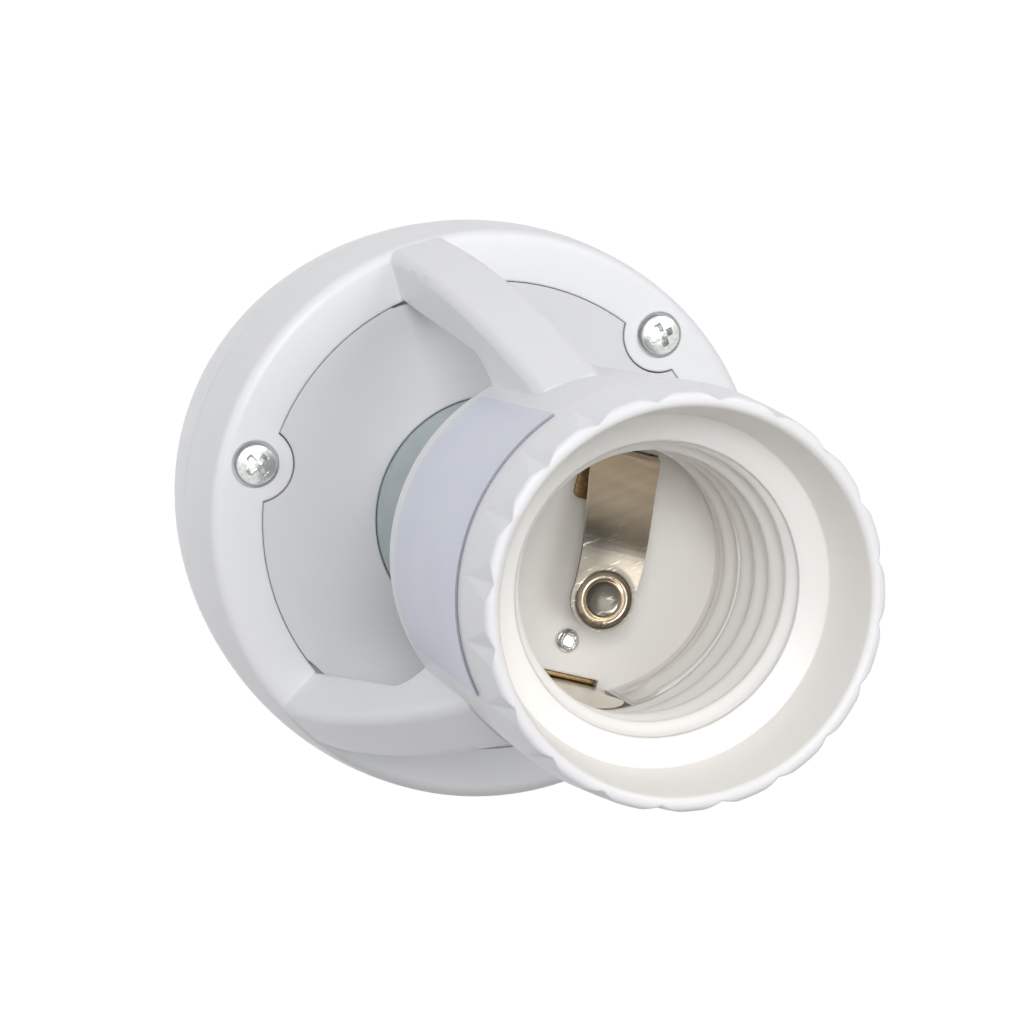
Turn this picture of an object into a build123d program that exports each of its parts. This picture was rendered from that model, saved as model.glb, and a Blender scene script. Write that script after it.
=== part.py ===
from build123d import *
import os
from math import atan, cos, degrees, radians, sin, sqrt

# Motion sensor lamp holder. A threaded socket stands on three arms over the lens of a
# bowl-shaped sensor housing, and an Edison cap under the bowl screws into any lamp fitting.
# Millimetres. The origin is on the axis, where the bowl's neck seats on the fitting, and
# +Z points out of the socket's mouth.

os.makedirs("parts", exist_ok=True)

# Heights along the axis, in order from the seat to the lip
neck_height = 2.6
bowl_height = 31.5          # from the seat up to the parting line
ring_height = 12.5          # from the parting line up to the ring's front face
window_height = 27.8        # open height between the ring and the barrel
cover_thickness = 1.2
wiring_depth = 2.2
floor_thickness = 1.8
contact_depth = 9.0         # from the floor up to the thread's working length
thread_length = 12.0
entry_height = 1.0
mouth_depth = 7.3

parting_z = bowl_height
ring_front_z = parting_z + ring_height
barrel_rear_z = ring_front_z + window_height
cover_top_z = barrel_rear_z + cover_thickness
floor_under_z = cover_top_z + wiring_depth
floor_z = floor_under_z + floor_thickness
thread_low_z = floor_z + contact_depth
thread_top_z = thread_low_z + thread_length
mouth_low_z = thread_top_z + entry_height
lip_z = mouth_low_z + mouth_depth

# Bowl
wall = 2.2
parting_radius = 31.5       # widest place of the bowl
rim_draw = 0.9              # the ring's front edge lies this far inside the widest place
rim_rounding = 1.2
belly_draw = 1.2
belly_drop = 13.5           # from the parting line down to the belly
shoulder_draw = 2.6
shoulder_drop = 21.5
bottom_draw = 12.0          # the bowl's shoulder runs out into its flat bottom here
neck_radius = 15.2
face_thickness = 2.0        # ring and sensor plate
rim_land = 5.3              # from the rim's edge in to the seam of the sensor plate
seam_gap = 0.08
register_width = 1.4
register_rise = 1.5
register_root = 5.0
skirt_inset = 0.1           # how far the ring's side is drawn in at half its height

# Arms
arm_count = 3
arm_start_angle = 90.0
arm_width = 6.4
arm_edge_rounding = 1.2
arm_root_inset = 0.2        # the arm's back stands this far inside the rim
arm_rise = 16.2             # how far up the barrel an arm runs
arm_back_draw = 4.3         # how far the arm's back leans in at that height
arm_back_height = 22.0
arm_belly_draw = 2.1
arm_belly_height = 12.0
arm_crook_inset = 1.0       # from midway between the arm's back and the barrel
arm_crook_drop = 3.8
arm_back_margin = 0.1       # how far the arm's back stays outside the barrel where it ends
arm_bite = 1.1              # how deep the arm reaches into the barrel's wall

# Barrel
barrel_rear_radius = 18.3
barrel_radius = 18.9        # where the crown starts
lip_radius = 18.35
lip_inner_radius = 16.95
mouth_low_radius = 15.95
lip_rounding = 0.6
thread_radius = 13.35       # root of the internal Edison thread
chamber_radius = 13.1
lobe_count = 20
lobe_start_angle = -6.0
dip_depth = 0.6
dip_length = 6.8
dip_rounding = 1.0
wiring_radius = 15.2
cover_radius = 16.2
cover_gap = 0.1
cover_chamfer = 0.3

# Housing screws and their bosses
boss_radius = 4.0
boss_inset = 4.8            # from the widest place in to a screw's axis
boss_start_angle = 30.0
boss_gap = 0.15
screw_head_radius = 2.2
screw_head_height = 1.8
screw_head_rounding = 0.9
screw_recess_radius = 2.5
screw_recess_depth = 0.8
screw_radius = 1.4
screw_length = 22.0
screw_clearance = 0.2
thread_bite_gap = 0.05
screw_end_gap = 0.5         # depth left in a post under its screw

# Lens
lens_radius = 13.0
lens_collar = 0.8
lens_height = 13.2          # from the ring's face up to the top of the dome
lens_wall = 0.9
lens_gap = 0.1
lens_flange_radius = 14.6
lens_flange_thickness = 1.2
plate_flange_gap = 1.3
relief_width = 9.0
relief_depth = 1.3
relief_inset = 0.6

# Circuit board and what it carries
board_gap = 0.5             # between the board's edge and the screw bosses
board_thickness = 1.6
standoff_height = 6.2
standoff_radius = 2.2
standoff_inset = 3.2
board_screw_radius = 1.0
board_screw_head_radius = 1.9
board_screw_head_height = 1.3
board_screw_length = 5.5
board_screw_end_gap = 0.3
sensor_radius = 4.3
sensor_flange_radius = 4.75
sensor_flange_thickness = 0.5
sensor_height = 4.2
sensor_rounding = 0.4
sensor_leg_length = 4.8
sensor_leg_circle = 2.3
sensor_leg_count = 3
sensor_leg_start_angle = 45.0
sensor_leg_span = 270.0
leg_radius = 0.25
window_width = 4.4
window_corner = 0.6
window_thickness = 0.4
window_gap = 0.05
cell_radius = 2.5
cell_height = 1.6
cell_leg_length = 6.0
cell_leg_pitch = 2.5
cell_position = 9.0
chip_place_y = -11.5
chip_length = 8.7
chip_width = 3.9
chip_height = 1.5
chip_lift = 0.15
chip_leg_pitch = 1.27
chip_leg_count = 7
chip_leg_width = 0.4
chip_leg_reach = 1.0
chip_leg_thickness = 0.2
film_place = (-1.0, 11.0)
film_length = 17.5
film_width = 7.0
film_height = 13.0
film_corner = 0.8
large_can_place = (13.0, 0.0)
large_can_radius = 4.0
large_can_height = 11.5
small_can_place = (10.0, -9.5)
small_can_radius = 3.15
small_can_height = 9.0
can_rounding = 0.4
triac_place = (-14.0, -3.0)
triac_depth = 4.5
triac_width = 10.0
triac_height = 9.0
triac_leg_length = 3.0
triac_leg_pitch = 2.54
triac_leg_width = 0.9
triac_leg_thickness = 0.5
triac_tab_thickness = 1.3
triac_tab_height = 6.0
triac_hole_radius = 1.8
triac_hole_drop = 3.2       # from the body's end to the hole in its tab
diode_radius = 1.35
diode_length = 5.2
diode_spacing_x = 7.0
diode_spacing_y = 4.0
diode_place = (0.1, -0.9)   # middle of the four
resistor_radius = 1.2
resistor_length = 6.5
resistor_start_x = -5.0
resistor_places_y = (-7.0, -11.0, -15.0)

# Contacts
contact_angle = 59.0        # direction of the centre leaf's root, opposite the side leaf
leaf_thickness = 0.4
leaf_stand = 1.0            # a leaf stands straight this far above the floor
centre_shift = 0.7          # the centre leaf lies this far to one side of the axis
centre_root = 10.4
centre_width = 7.0
centre_neck_width = 6.0
centre_crook = 1.5          # where the leaf's slope turns level
centre_bend = 1.0
centre_head_radius = 3.15
centre_head_reach = 3.1     # the head's centre lies this far past the axis
centre_head_height = 5.0    # above the floor
button_radius = 2.3
button_rise = 0.55
button_width = 0.5
side_angle = contact_angle + 180.0
side_root = 12.1
side_root_width = 8.0
side_width = 9.8            # rounded end of the side leaf
side_corner = 2.9
side_end_height = 6.2
side_lean = 0.8
side_height = 8.6
side_bend = 3.0
tail_drop = 1.3             # how far the leaves' tails reach below the floor
leaf_gap = 0.2
leaf_swing = 0.6            # room for a tail as its leaf bends
pocket_depth = 1.6
pocket_gap = 0.4
pocket_margin = 0.1         # the pocket ends this far below the thread
base_thickness = 0.5
base_width = 10.0
base_length = 8.4
base_reach = 2.0            # how far a base runs out past its leaf
base_corner = 0.8
foot_width = 7.6            # plate under the centre leaf, on top of the floor
foot_inner = 5.5
foot_outer = 9.3
foot_corner = 0.6
leg_width = 6.0             # the foot's leg, which goes down through the floor
leg_gap = 0.1
rivet_radius = 1.15
rivet_height = 0.8
rivet_edge = 0.3
rivet_shank = 0.6
rivet_end = 0.2             # how far a rivet stands out under its base
side_rivet_circle = 8.1
centre_rivet_circle = 6.8
rivet_gap = 0.05

# Leads
lead_radius = 0.7
lead_channel_gap = 0.25
arm_lead_bend = 2.4
lead_foot_inset = 3.65      # where a lead leaves the bowl for its arm
lead_foot_drop = 1.0
lead_foot_rise = 1.5
lead_knee_inset = 1.0       # depth of a lead under the arm's back
lead_knee_height = 14.0
lead_crook_reach = 2.0
lead_entry_reach = 2.5      # outside the barrel's rear edge
lead_entry_rise = 0.4
lead_end_radius = 12.0
lead_lift = 0.2             # gap between a lead and the cover
lead_board_inset = 1.7
lead_board_rise = 2.6
lead_turn_rise = 3.4

# Plug end
cap_radius = 13.1
cap_wall = 1.0
cap_length = 19.5
cap_hem_drop = 2.0
cap_hem_radius = 9.2
cap_curl_inset = 1.0
cap_curl_drop = 0.1
cap_curl_rise = 0.9
cap_gap = 0.1
spigot_length = 16.0
spigot_wall = 2.2
insulator_drop = 3.9
insulator_seat = 1.2
insulator_tip_radius = 5.6
tip_radius = 4.8
tip_drop = 1.3
tip_edge = 0.4
cap_lead_radius = 0.75
cap_lead_gap = 0.15
cap_lead_drop = 1.6         # the shell's lead turns this far below the spigot
tip_lead_bend = 4.0
shell_lead_bend = 2.0
tip_lead_place = (2.0, 3.5)
shell_lead_place = (5.0, 4.5)
shell_lead_inset = 6.0
lead_sway_low = 2.0         # heights where the cap's leads lean over to their places
lead_sway_high = 14.0

# Rating label on the barrel
label_start_angle = 106.3
label_sweep = 84.0
label_rear_edge = 3.2
label_width = 24.3
label_thickness = 0.15
label_gap = 0.05

face_under_z = ring_front_z - face_thickness
cavity_radius = parting_radius - wall
rim_radius = parting_radius - rim_draw
belly_radius = parting_radius - belly_draw
shoulder_radius = parting_radius - shoulder_draw
bottom_radius = parting_radius - bottom_draw
seam_radius = rim_radius - rim_land
boss_circle = parting_radius - boss_inset
arm_back_radius = rim_radius - arm_back_draw
arm_belly_radius = seam_radius - arm_belly_draw
arm_crook_radius = (arm_back_radius + barrel_rear_radius) / 2 - arm_crook_inset
plate_flange_radius = cavity_radius - plate_flange_gap
board_radius = boss_circle - boss_radius - board_gap
standoff_circle = board_radius - standoff_inset
lead_foot_radius = parting_radius - lead_foot_inset
lead_knee_radius = arm_back_radius - lead_knee_inset
lead_crook_radius = arm_crook_radius + lead_crook_reach
lead_entry_radius = barrel_rear_radius + lead_entry_reach
lead_board_radius = board_radius - lead_board_inset
plate_rear_z = face_under_z - lens_flange_thickness
board_top_z = plate_rear_z - standoff_height
board_under_z = board_top_z - board_thickness


def upright_plane(angle):
    """Plane through the axis: its x points outward at the angle, and its y points up."""
    turn = radians(angle)
    return Plane(origin=(0, 0, 0), x_dir=(cos(turn), sin(turn), 0), z_dir=(sin(turn), -cos(turn), 0))


def contact_plane(height, angle, shift):
    """Level plane whose x runs along a contact, from the axis to its root, moved to one side."""
    turn = radians(angle)
    place = (shift * sin(turn), -shift * cos(turn), height)
    return Plane(origin=place, x_dir=(cos(turn), sin(turn), 0), z_dir=(0, 0, 1))


def polar(radius, angle):
    """Point of the ground plane at the radius and angle."""
    return (radius * cos(radians(angle)), radius * sin(radians(angle)))


def barrel_radius_at(height):
    """Outer radius of the barrel's plain cone at a height."""
    share = (height - barrel_rear_z) / (mouth_low_z - barrel_rear_z)
    return barrel_rear_radius + (barrel_radius - barrel_rear_radius) * share


def cap_arc(edge_radius, edge_z, top_z):
    """Arc from an edge to the axis, centred on the axis, as the section of a spherical cap."""
    rise = top_z - edge_z
    radius = (edge_radius * edge_radius + rise * rise) / (2 * rise)
    middle_radius = edge_radius / 2
    depth = abs(radius) - sqrt(radius * radius - middle_radius * middle_radius)
    middle_z = top_z - depth if rise > 0 else top_z + depth
    return ThreePointArc((edge_radius, edge_z), (middle_radius, middle_z), (0, top_z))


def bowl_section(inset):
    """Half section of the bowl below the parting line, drawn in from its outside by the inset."""
    with BuildSketch(Plane.XZ) as section:
        with BuildLine():
            side = ThreePointArc(
                (parting_radius - inset, parting_z),
                (belly_radius - inset, parting_z - belly_drop),
                (shoulder_radius - inset, parting_z - shoulder_drop),
            )
            shoulder = TangentArc(side @ 1, (bottom_radius, neck_height + inset), tangent=side % 1)
            bottom = Line(shoulder @ 1, (0, neck_height + inset))
            middle = Line(bottom @ 1, (0, parting_z))
            Line(middle @ 1, side @ 0)
        make_face()
    return section.sketch


# One arm, in the plane of the x axis
with BuildPart() as arm:
    with BuildSketch(Plane.XZ):
        with BuildLine():
            back = ThreePointArc(
                (rim_radius - arm_root_inset, ring_front_z),
                (arm_back_radius, ring_front_z + arm_back_height),
                (
                    barrel_radius_at(barrel_rear_z + arm_rise) + arm_back_margin,
                    barrel_rear_z + arm_rise,
                ),
            )
            belly = ThreePointArc(
                (seam_radius, ring_front_z),
                (arm_belly_radius, ring_front_z + arm_belly_height),
                (arm_crook_radius, barrel_rear_z - arm_crook_drop),
            )
            crook = TangentArc(belly @ 1, (barrel_rear_radius, barrel_rear_z), tangent=belly % 1)
            Polyline(
                crook @ 1,
                (barrel_rear_radius - arm_bite, barrel_rear_z),
                (barrel_radius_at(barrel_rear_z + arm_rise) - arm_bite, barrel_rear_z + arm_rise),
                back @ 1,
            )
            Polyline(
                back @ 0,
                (rim_radius - arm_root_inset, face_under_z),
                (seam_radius, face_under_z),
                belly @ 0,
            )
        make_face()
    extrude(amount=arm_width / 2, both=True)
    fillet(arm.edges().filter_by(GeomType.CIRCLE).sort_by(SortBy.LENGTH)[-2:], arm_edge_rounding)

# Outline of the crown at the lip: round lobes that meet in narrow dips
lobe_pitch = 360.0 / lobe_count
dip_radius = lip_radius - dip_depth
with BuildPart() as crown_outline:
    with BuildSketch(Plane.XY.offset(lip_z)):
        with BuildLine():
            for lobe in range(lobe_count):
                dip_angle = lobe_start_angle + lobe * lobe_pitch
                ThreePointArc(
                    polar(dip_radius, dip_angle),
                    polar(lip_radius, dip_angle + lobe_pitch / 2),
                    polar(dip_radius, dip_angle + lobe_pitch),
                )
        make_face()
        fillet(crown_outline.vertices(), dip_rounding)
    dip_slope = (barrel_radius - dip_radius) / dip_length
    extrude(amount=-(lip_z - barrel_rear_z), taper=-degrees(atan(dip_slope)))

# Barrel: scalloped crown, mouth, threaded bore, contact chamber, floor and wiring space
with BuildPart() as barrel:
    with BuildSketch(Plane.XZ):
        with BuildLine():
            outside = Polyline(
                (cover_radius, barrel_rear_z),
                (barrel_rear_radius, barrel_rear_z),
                (barrel_radius, mouth_low_z),
                (lip_radius, lip_z - lip_rounding),
            )
            outer_lip = TangentArc(outside @ 1, (lip_radius - lip_rounding, lip_z), tangent=(0, 1))
            lip_top = Line(outer_lip @ 1, (lip_inner_radius + lip_rounding, lip_z))
            inner_lip = TangentArc(
                lip_top @ 1, (lip_inner_radius, lip_z - lip_rounding), tangent=(-1, 0)
            )
            Polyline(
                inner_lip @ 1,
                (mouth_low_radius, mouth_low_z),
                (thread_radius, thread_top_z),
                (thread_radius, thread_low_z),
                (chamber_radius, thread_low_z),
                (chamber_radius, floor_z),
                (0, floor_z),
                (0, floor_under_z),
                (wiring_radius, floor_under_z),
                (wiring_radius, cover_top_z),
                (cover_radius, cover_top_z),
                outside @ 0,
            )
        make_face()
    revolve(axis=Axis.Z)
    add(crown_outline.part, mode=Mode.INTERSECT)

# Route of the leads through an arm, as (radius, height) pairs
arm_lead_route = [
    (lead_foot_radius, face_under_z - lead_foot_drop),
    (lead_foot_radius, ring_front_z + lead_foot_rise),
    (lead_knee_radius, ring_front_z + lead_knee_height),
    (lead_crook_radius, barrel_rear_z - arm_crook_drop),
    (lead_entry_radius, cover_top_z + lead_entry_rise),
    (lead_end_radius, cover_top_z + lead_radius + lead_lift),
]


def lead_path(angle, route, bend):
    """Straight runs joined by round bends, in the upright plane at the angle."""
    plane = upright_plane(angle)
    points = [plane.from_local_coords(Vector(radius, height)) for radius, height in route]
    return FilletPolyline(*points, radius=bend)


with BuildPart() as lead_channel:
    with BuildLine() as channel_path:
        lead_path(0, arm_lead_route, arm_lead_bend)
    with BuildSketch(Plane(origin=channel_path.line @ 0, z_dir=channel_path.line % 0)):
        Circle(lead_radius + lead_channel_gap)
    sweep()

# Cage: ring, bosses, arms and barrel in one moulding
with BuildPart() as socket_cage:
    with BuildSketch(Plane.XZ):
        with BuildLine():
            skirt = ThreePointArc(
                (parting_radius, parting_z),
                (parting_radius - skirt_inset, parting_z + ring_height / 2),
                (rim_radius, ring_front_z),
            )
            Polyline(skirt @ 1, (0, ring_front_z), (0, parting_z), skirt @ 0)
        make_face()
    revolve(axis=Axis.Z)
    rim = socket_cage.edges().filter_by(GeomType.CIRCLE).group_by(Axis.Z)[-1]
    fillet(rim, rim_rounding)
    with BuildSketch(Plane.XY.offset(parting_z)):
        Circle(cavity_radius)
        with PolarLocations(boss_circle, arm_count, boss_start_angle):
            Circle(boss_radius, mode=Mode.SUBTRACT)
    extrude(amount=face_under_z - parting_z, mode=Mode.SUBTRACT)
    with BuildSketch(Plane.XY.offset(face_under_z)):
        Circle(seam_radius)
        with PolarLocations(boss_circle, arm_count, boss_start_angle):
            Circle(boss_radius, mode=Mode.SUBTRACT)
    extrude(amount=face_thickness, mode=Mode.SUBTRACT)
    with Locations(Plane.XY.offset(ring_front_z)):
        with PolarLocations(boss_circle, arm_count, boss_start_angle):
            CounterBoreHole(
                radius=screw_radius + screw_clearance,
                counter_bore_radius=screw_recess_radius,
                counter_bore_depth=screw_recess_depth,
                depth=ring_height,
            )
    with PolarLocations(0, arm_count, arm_start_angle):
        add(arm.part)
    add(barrel.part)
    with PolarLocations(0, 2, arm_start_angle, angular_range=240):
        add(lead_channel.part, mode=Mode.SUBTRACT)
    # Slots for the leaves' tails and the foot's leg, and the pocket behind the side leaf
    with BuildSketch(upright_plane(contact_angle).offset(centre_shift)):
        with Locations((centre_root + (leaf_swing - leaf_gap) / 2, floor_z)):
            Rectangle(leaf_thickness + leaf_gap + leaf_swing, 3 * floor_thickness)
    extrude(amount=centre_width / 2 + leaf_gap, both=True, mode=Mode.SUBTRACT)
    with BuildSketch(upright_plane(side_angle)):
        with Locations((side_root - (leaf_swing - leaf_gap) / 2, floor_z)):
            Rectangle(leaf_thickness + leaf_gap + leaf_swing, 3 * floor_thickness)
    extrude(amount=side_root_width / 2 + leaf_gap, both=True, mode=Mode.SUBTRACT)
    with BuildSketch(upright_plane(side_angle)):
        with Locations((side_root, floor_z)):
            Rectangle(
                chamber_radius + pocket_depth - side_root,
                contact_depth - pocket_margin,
                align=(Align.MIN, Align.MIN),
            )
    extrude(amount=side_width / 2 + pocket_gap, both=True, mode=Mode.SUBTRACT)
    with BuildSketch(contact_plane(floor_under_z, contact_angle, centre_shift)):
        with Locations((foot_outer - base_thickness / 2, 0)):
            Rectangle(base_thickness + 2 * leg_gap, leg_width + 2 * leg_gap)
        with Locations((centre_rivet_circle, 0)):
            Circle(rivet_shank + rivet_gap)
    extrude(amount=floor_thickness, mode=Mode.SUBTRACT)
    with BuildSketch(contact_plane(floor_under_z, side_angle, 0)):
        with Locations((side_rivet_circle, 0)):
            Circle(rivet_shank + rivet_gap)
    extrude(amount=floor_thickness, mode=Mode.SUBTRACT)
socket_cage.part.label = "socket_cage"
export_step(socket_cage.part, "parts/socket_cage.step")

# Hollow of the bowl, with the screw posts left standing against the wall
with BuildPart() as bowl_hollow:
    add(bowl_section(wall))
    revolve(axis=Axis.Z)
    with BuildSketch(Plane.XY):
        with PolarLocations(boss_circle, arm_count, boss_start_angle):
            Circle(boss_radius)
    extrude(amount=parting_z, mode=Mode.SUBTRACT)

# Rear housing: bowl, register ring, neck and the hollow spigot that carries the cap
with BuildPart() as rear_housing:
    add(bowl_section(0))
    revolve(axis=Axis.Z)
    add(bowl_hollow.part, mode=Mode.SUBTRACT)
    with BuildSketch(Plane.XY.offset(parting_z - register_root)):
        Circle(cavity_radius - seam_gap)
        Circle(cavity_radius - seam_gap - register_width, mode=Mode.SUBTRACT)
        with PolarLocations(boss_circle, arm_count, boss_start_angle):
            Circle(boss_radius + boss_gap, mode=Mode.SUBTRACT)
    extrude(amount=register_root + register_rise)
    with BuildSketch(Plane.XY):
        Circle(neck_radius)
    extrude(amount=neck_height + wall)
    with BuildSketch(Plane.XY.offset(-spigot_length)):
        Circle(cap_radius - cap_wall - cap_gap)
    extrude(amount=spigot_length)
    with BuildSketch(Plane.XY.offset(-spigot_length)):
        Circle(cap_radius - cap_wall - cap_gap - spigot_wall)
    extrude(amount=spigot_length + neck_height + wall, mode=Mode.SUBTRACT)
    with BuildSketch(Plane.XY.offset(parting_z)):
        with PolarLocations(boss_circle, arm_count, boss_start_angle):
            Circle(screw_radius + thread_bite_gap)
    extrude(amount=ring_height - screw_recess_depth - screw_length - screw_end_gap, mode=Mode.SUBTRACT)
rear_housing.part.label = "rear_housing"
export_step(rear_housing.part, "parts/rear_housing.step")

# Sensor plate: front disc flush with the ring, rear flange, lens seat and board standoffs
with BuildPart() as sensor_plate:
    with BuildSketch(Plane.XY.offset(plate_rear_z)):
        Circle(plate_flange_radius)
        with PolarLocations(boss_circle, arm_count, boss_start_angle):
            Circle(boss_radius + boss_gap, mode=Mode.SUBTRACT)
        with PolarLocations(arm_lead_route[0][0], arm_count, arm_start_angle):
            Circle(lead_radius + 2 * lead_channel_gap, mode=Mode.SUBTRACT)
    extrude(amount=lens_flange_thickness)
    with BuildSketch(Plane.XY.offset(face_under_z)):
        Circle(seam_radius - seam_gap)
        with PolarLocations(boss_circle, arm_count, boss_start_angle):
            Circle(boss_radius + boss_gap, mode=Mode.SUBTRACT)
    extrude(amount=face_thickness)
    with BuildSketch(Plane.XY.offset(ring_front_z)):
        with PolarLocations(seam_radius - relief_inset, arm_count, arm_start_angle):
            Rectangle(relief_inset, relief_width, align=(Align.MIN, Align.CENTER))
    extrude(amount=-relief_depth, mode=Mode.SUBTRACT)
    with BuildSketch(Plane.XY.offset(face_under_z)):
        Circle(lens_radius + lens_gap)
    extrude(amount=face_thickness, mode=Mode.SUBTRACT)
    with BuildSketch(Plane.XY.offset(plate_rear_z)):
        Circle(lens_flange_radius + lens_gap)
    extrude(amount=lens_flange_thickness, mode=Mode.SUBTRACT)
    with BuildSketch(Plane.XY.offset(plate_rear_z)):
        with PolarLocations(standoff_circle, arm_count):
            Circle(standoff_radius)
    extrude(amount=-standoff_height)
    with BuildSketch(Plane.XY.offset(board_top_z)):
        with PolarLocations(standoff_circle, arm_count):
            Circle(board_screw_radius + thread_bite_gap)
    extrude(amount=board_screw_length - board_thickness + board_screw_end_gap, mode=Mode.SUBTRACT)
sensor_plate.part.label = "sensor_plate"
export_step(sensor_plate.part, "parts/sensor_plate.step")


def dome_section(inset):
    """Half section of the lens, collar and dome, drawn in from its outside by the inset."""
    radius = lens_radius - inset
    collar_z = ring_front_z + lens_collar
    with BuildSketch(Plane.XZ) as section:
        with BuildLine():
            collar = Line((radius, plate_rear_z), (radius, collar_z))
            dome = cap_arc(radius, collar_z, ring_front_z + lens_height - inset)
            Polyline(dome @ 1, (0, plate_rear_z), collar @ 0)
        make_face()
    return section.sketch


# Lens: thin dome with a flange that seats behind the plate
with BuildPart() as pir_lens:
    add(dome_section(0))
    revolve(axis=Axis.Z)
    with BuildSketch(Plane.XY.offset(plate_rear_z)):
        Circle(lens_flange_radius)
    extrude(amount=lens_flange_thickness)
    add(dome_section(lens_wall))
    revolve(axis=Axis.Z, mode=Mode.SUBTRACT)
pir_lens.part.label = "pir_lens"
export_step(pir_lens.part, "parts/pir_lens.step")

# Circuit board, under the plate's standoffs
with BuildPart() as circuit_board:
    with BuildSketch(Plane.XY.offset(board_under_z)):
        Circle(board_radius)
        with PolarLocations(standoff_circle, arm_count):
            Circle(board_screw_radius + screw_clearance, mode=Mode.SUBTRACT)
    extrude(amount=board_thickness)
circuit_board.part.label = "circuit_board"
export_step(circuit_board.part, "parts/circuit_board.step")

# Infrared sensor: flanged metal can on three legs
sensor_base_z = board_top_z + sensor_leg_length
sensor_top_z = sensor_base_z + sensor_height
with BuildPart() as pir_sensor:
    with BuildSketch(Plane.XY.offset(sensor_base_z)):
        Circle(sensor_flange_radius)
    extrude(amount=sensor_flange_thickness)
    with BuildSketch(Plane.XY.offset(sensor_base_z)):
        Circle(sensor_radius)
    extrude(amount=sensor_height)
    fillet(pir_sensor.edges().group_by(Axis.Z)[-1], sensor_rounding)
    with BuildSketch(Plane.XY.offset(sensor_top_z)):
        RectangleRounded(window_width, window_width, window_corner)
    extrude(amount=-window_thickness, mode=Mode.SUBTRACT)
    with BuildSketch(Plane.XY.offset(board_top_z)):
        with PolarLocations(
            sensor_leg_circle, sensor_leg_count, sensor_leg_start_angle, angular_range=sensor_leg_span
        ):
            Circle(leg_radius)
    extrude(amount=sensor_leg_length)
pir_sensor.part.label = "pir_sensor"
export_step(pir_sensor.part, "parts/pir_sensor.step")

# Filter window in the can's top
with BuildPart() as sensor_window:
    with BuildSketch(Plane.XY.offset(sensor_top_z)):
        RectangleRounded(
            window_width - 2 * window_gap, window_width - 2 * window_gap, window_corner - window_gap
        )
    extrude(amount=-window_thickness)
sensor_window.part.label = "sensor_window"
export_step(sensor_window.part, "parts/sensor_window.step")

# Photocell: small disc on two legs
with BuildPart() as light_sensor:
    with BuildSketch(Plane.XY.offset(board_top_z + cell_leg_length)):
        with Locations(polar(cell_position, label_start_angle)):
            Circle(cell_radius)
    extrude(amount=cell_height)
    with BuildSketch(Plane.XY.offset(board_top_z)):
        with Locations(polar(cell_position, label_start_angle)):
            with GridLocations(cell_leg_pitch, 0, 2, 1):
                Circle(leg_radius)
    extrude(amount=cell_leg_length)
light_sensor.part.label = "light_sensor"
export_step(light_sensor.part, "parts/light_sensor.step")

# Control chip: small body with gull legs, on the board's top
with BuildPart() as control_chip:
    with BuildSketch(Plane.XY.offset(board_top_z + chip_lift)):
        with Locations((0, chip_place_y)):
            Rectangle(chip_length, chip_width)
    extrude(amount=chip_height)
    with BuildSketch(Plane.XY.offset(board_top_z)):
        with Locations((0, chip_place_y)):
            with GridLocations(chip_leg_pitch, chip_width + chip_leg_reach, chip_leg_count, 2):
                Rectangle(chip_leg_width, chip_leg_reach)
    extrude(amount=chip_leg_thickness)
control_chip.part.label = "control_chip"
export_step(control_chip.part, "parts/control_chip.step")

# Parts that hang under the board
with BuildPart() as film_capacitor:
    with BuildSketch(Plane.XY.offset(board_under_z)):
        with Locations(film_place):
            Rectangle(film_length, film_width)
    extrude(amount=-film_height)
    fillet(film_capacitor.edges().filter_by(Axis.Z), film_corner)
film_capacitor.part.label = "film_capacitor"
export_step(film_capacitor.part, "parts/film_capacitor.step")

with BuildPart() as electrolytic_capacitors:
    with BuildSketch(Plane.XY.offset(board_under_z)):
        with Locations(large_can_place):
            Circle(large_can_radius)
    extrude(amount=-large_can_height)
    with BuildSketch(Plane.XY.offset(board_under_z)):
        with Locations(small_can_place):
            Circle(small_can_radius)
    extrude(amount=-small_can_height)
    fillet(electrolytic_capacitors.faces().filter_by(Axis.Z).edges(), can_rounding)
electrolytic_capacitors.part.label = "electrolytic_capacitors"
export_step(electrolytic_capacitors.part, "parts/electrolytic_capacitors.step")

# Power switch: moulded body with a cooling tab
triac_low_z = board_under_z - triac_leg_length - triac_height
triac_back_x = triac_place[0] - triac_depth / 2
with BuildPart() as triac:
    with BuildSketch(Plane.XY.offset(board_under_z - triac_leg_length)):
        with Locations(triac_place):
            Rectangle(triac_depth, triac_width)
    extrude(amount=-triac_height)
    with BuildSketch(Plane.XY.offset(triac_low_z)):
        with Locations((triac_back_x, triac_place[1])):
            Rectangle(triac_tab_thickness, triac_width, align=(Align.MIN, Align.CENTER))
    extrude(amount=-triac_tab_height)
    with BuildSketch(Plane.YZ.offset(triac_back_x)):
        with Locations((triac_place[1], triac_low_z - triac_hole_drop)):
            Circle(triac_hole_radius)
    extrude(amount=triac_tab_thickness, mode=Mode.SUBTRACT)
    with BuildSketch(Plane.XY.offset(board_under_z)):
        with Locations(triac_place):
            with GridLocations(0, triac_leg_pitch, 1, 3):
                Rectangle(triac_leg_thickness, triac_leg_width)
    extrude(amount=-triac_leg_length)
triac.part.label = "triac"
export_step(triac.part, "parts/triac.step")

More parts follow.
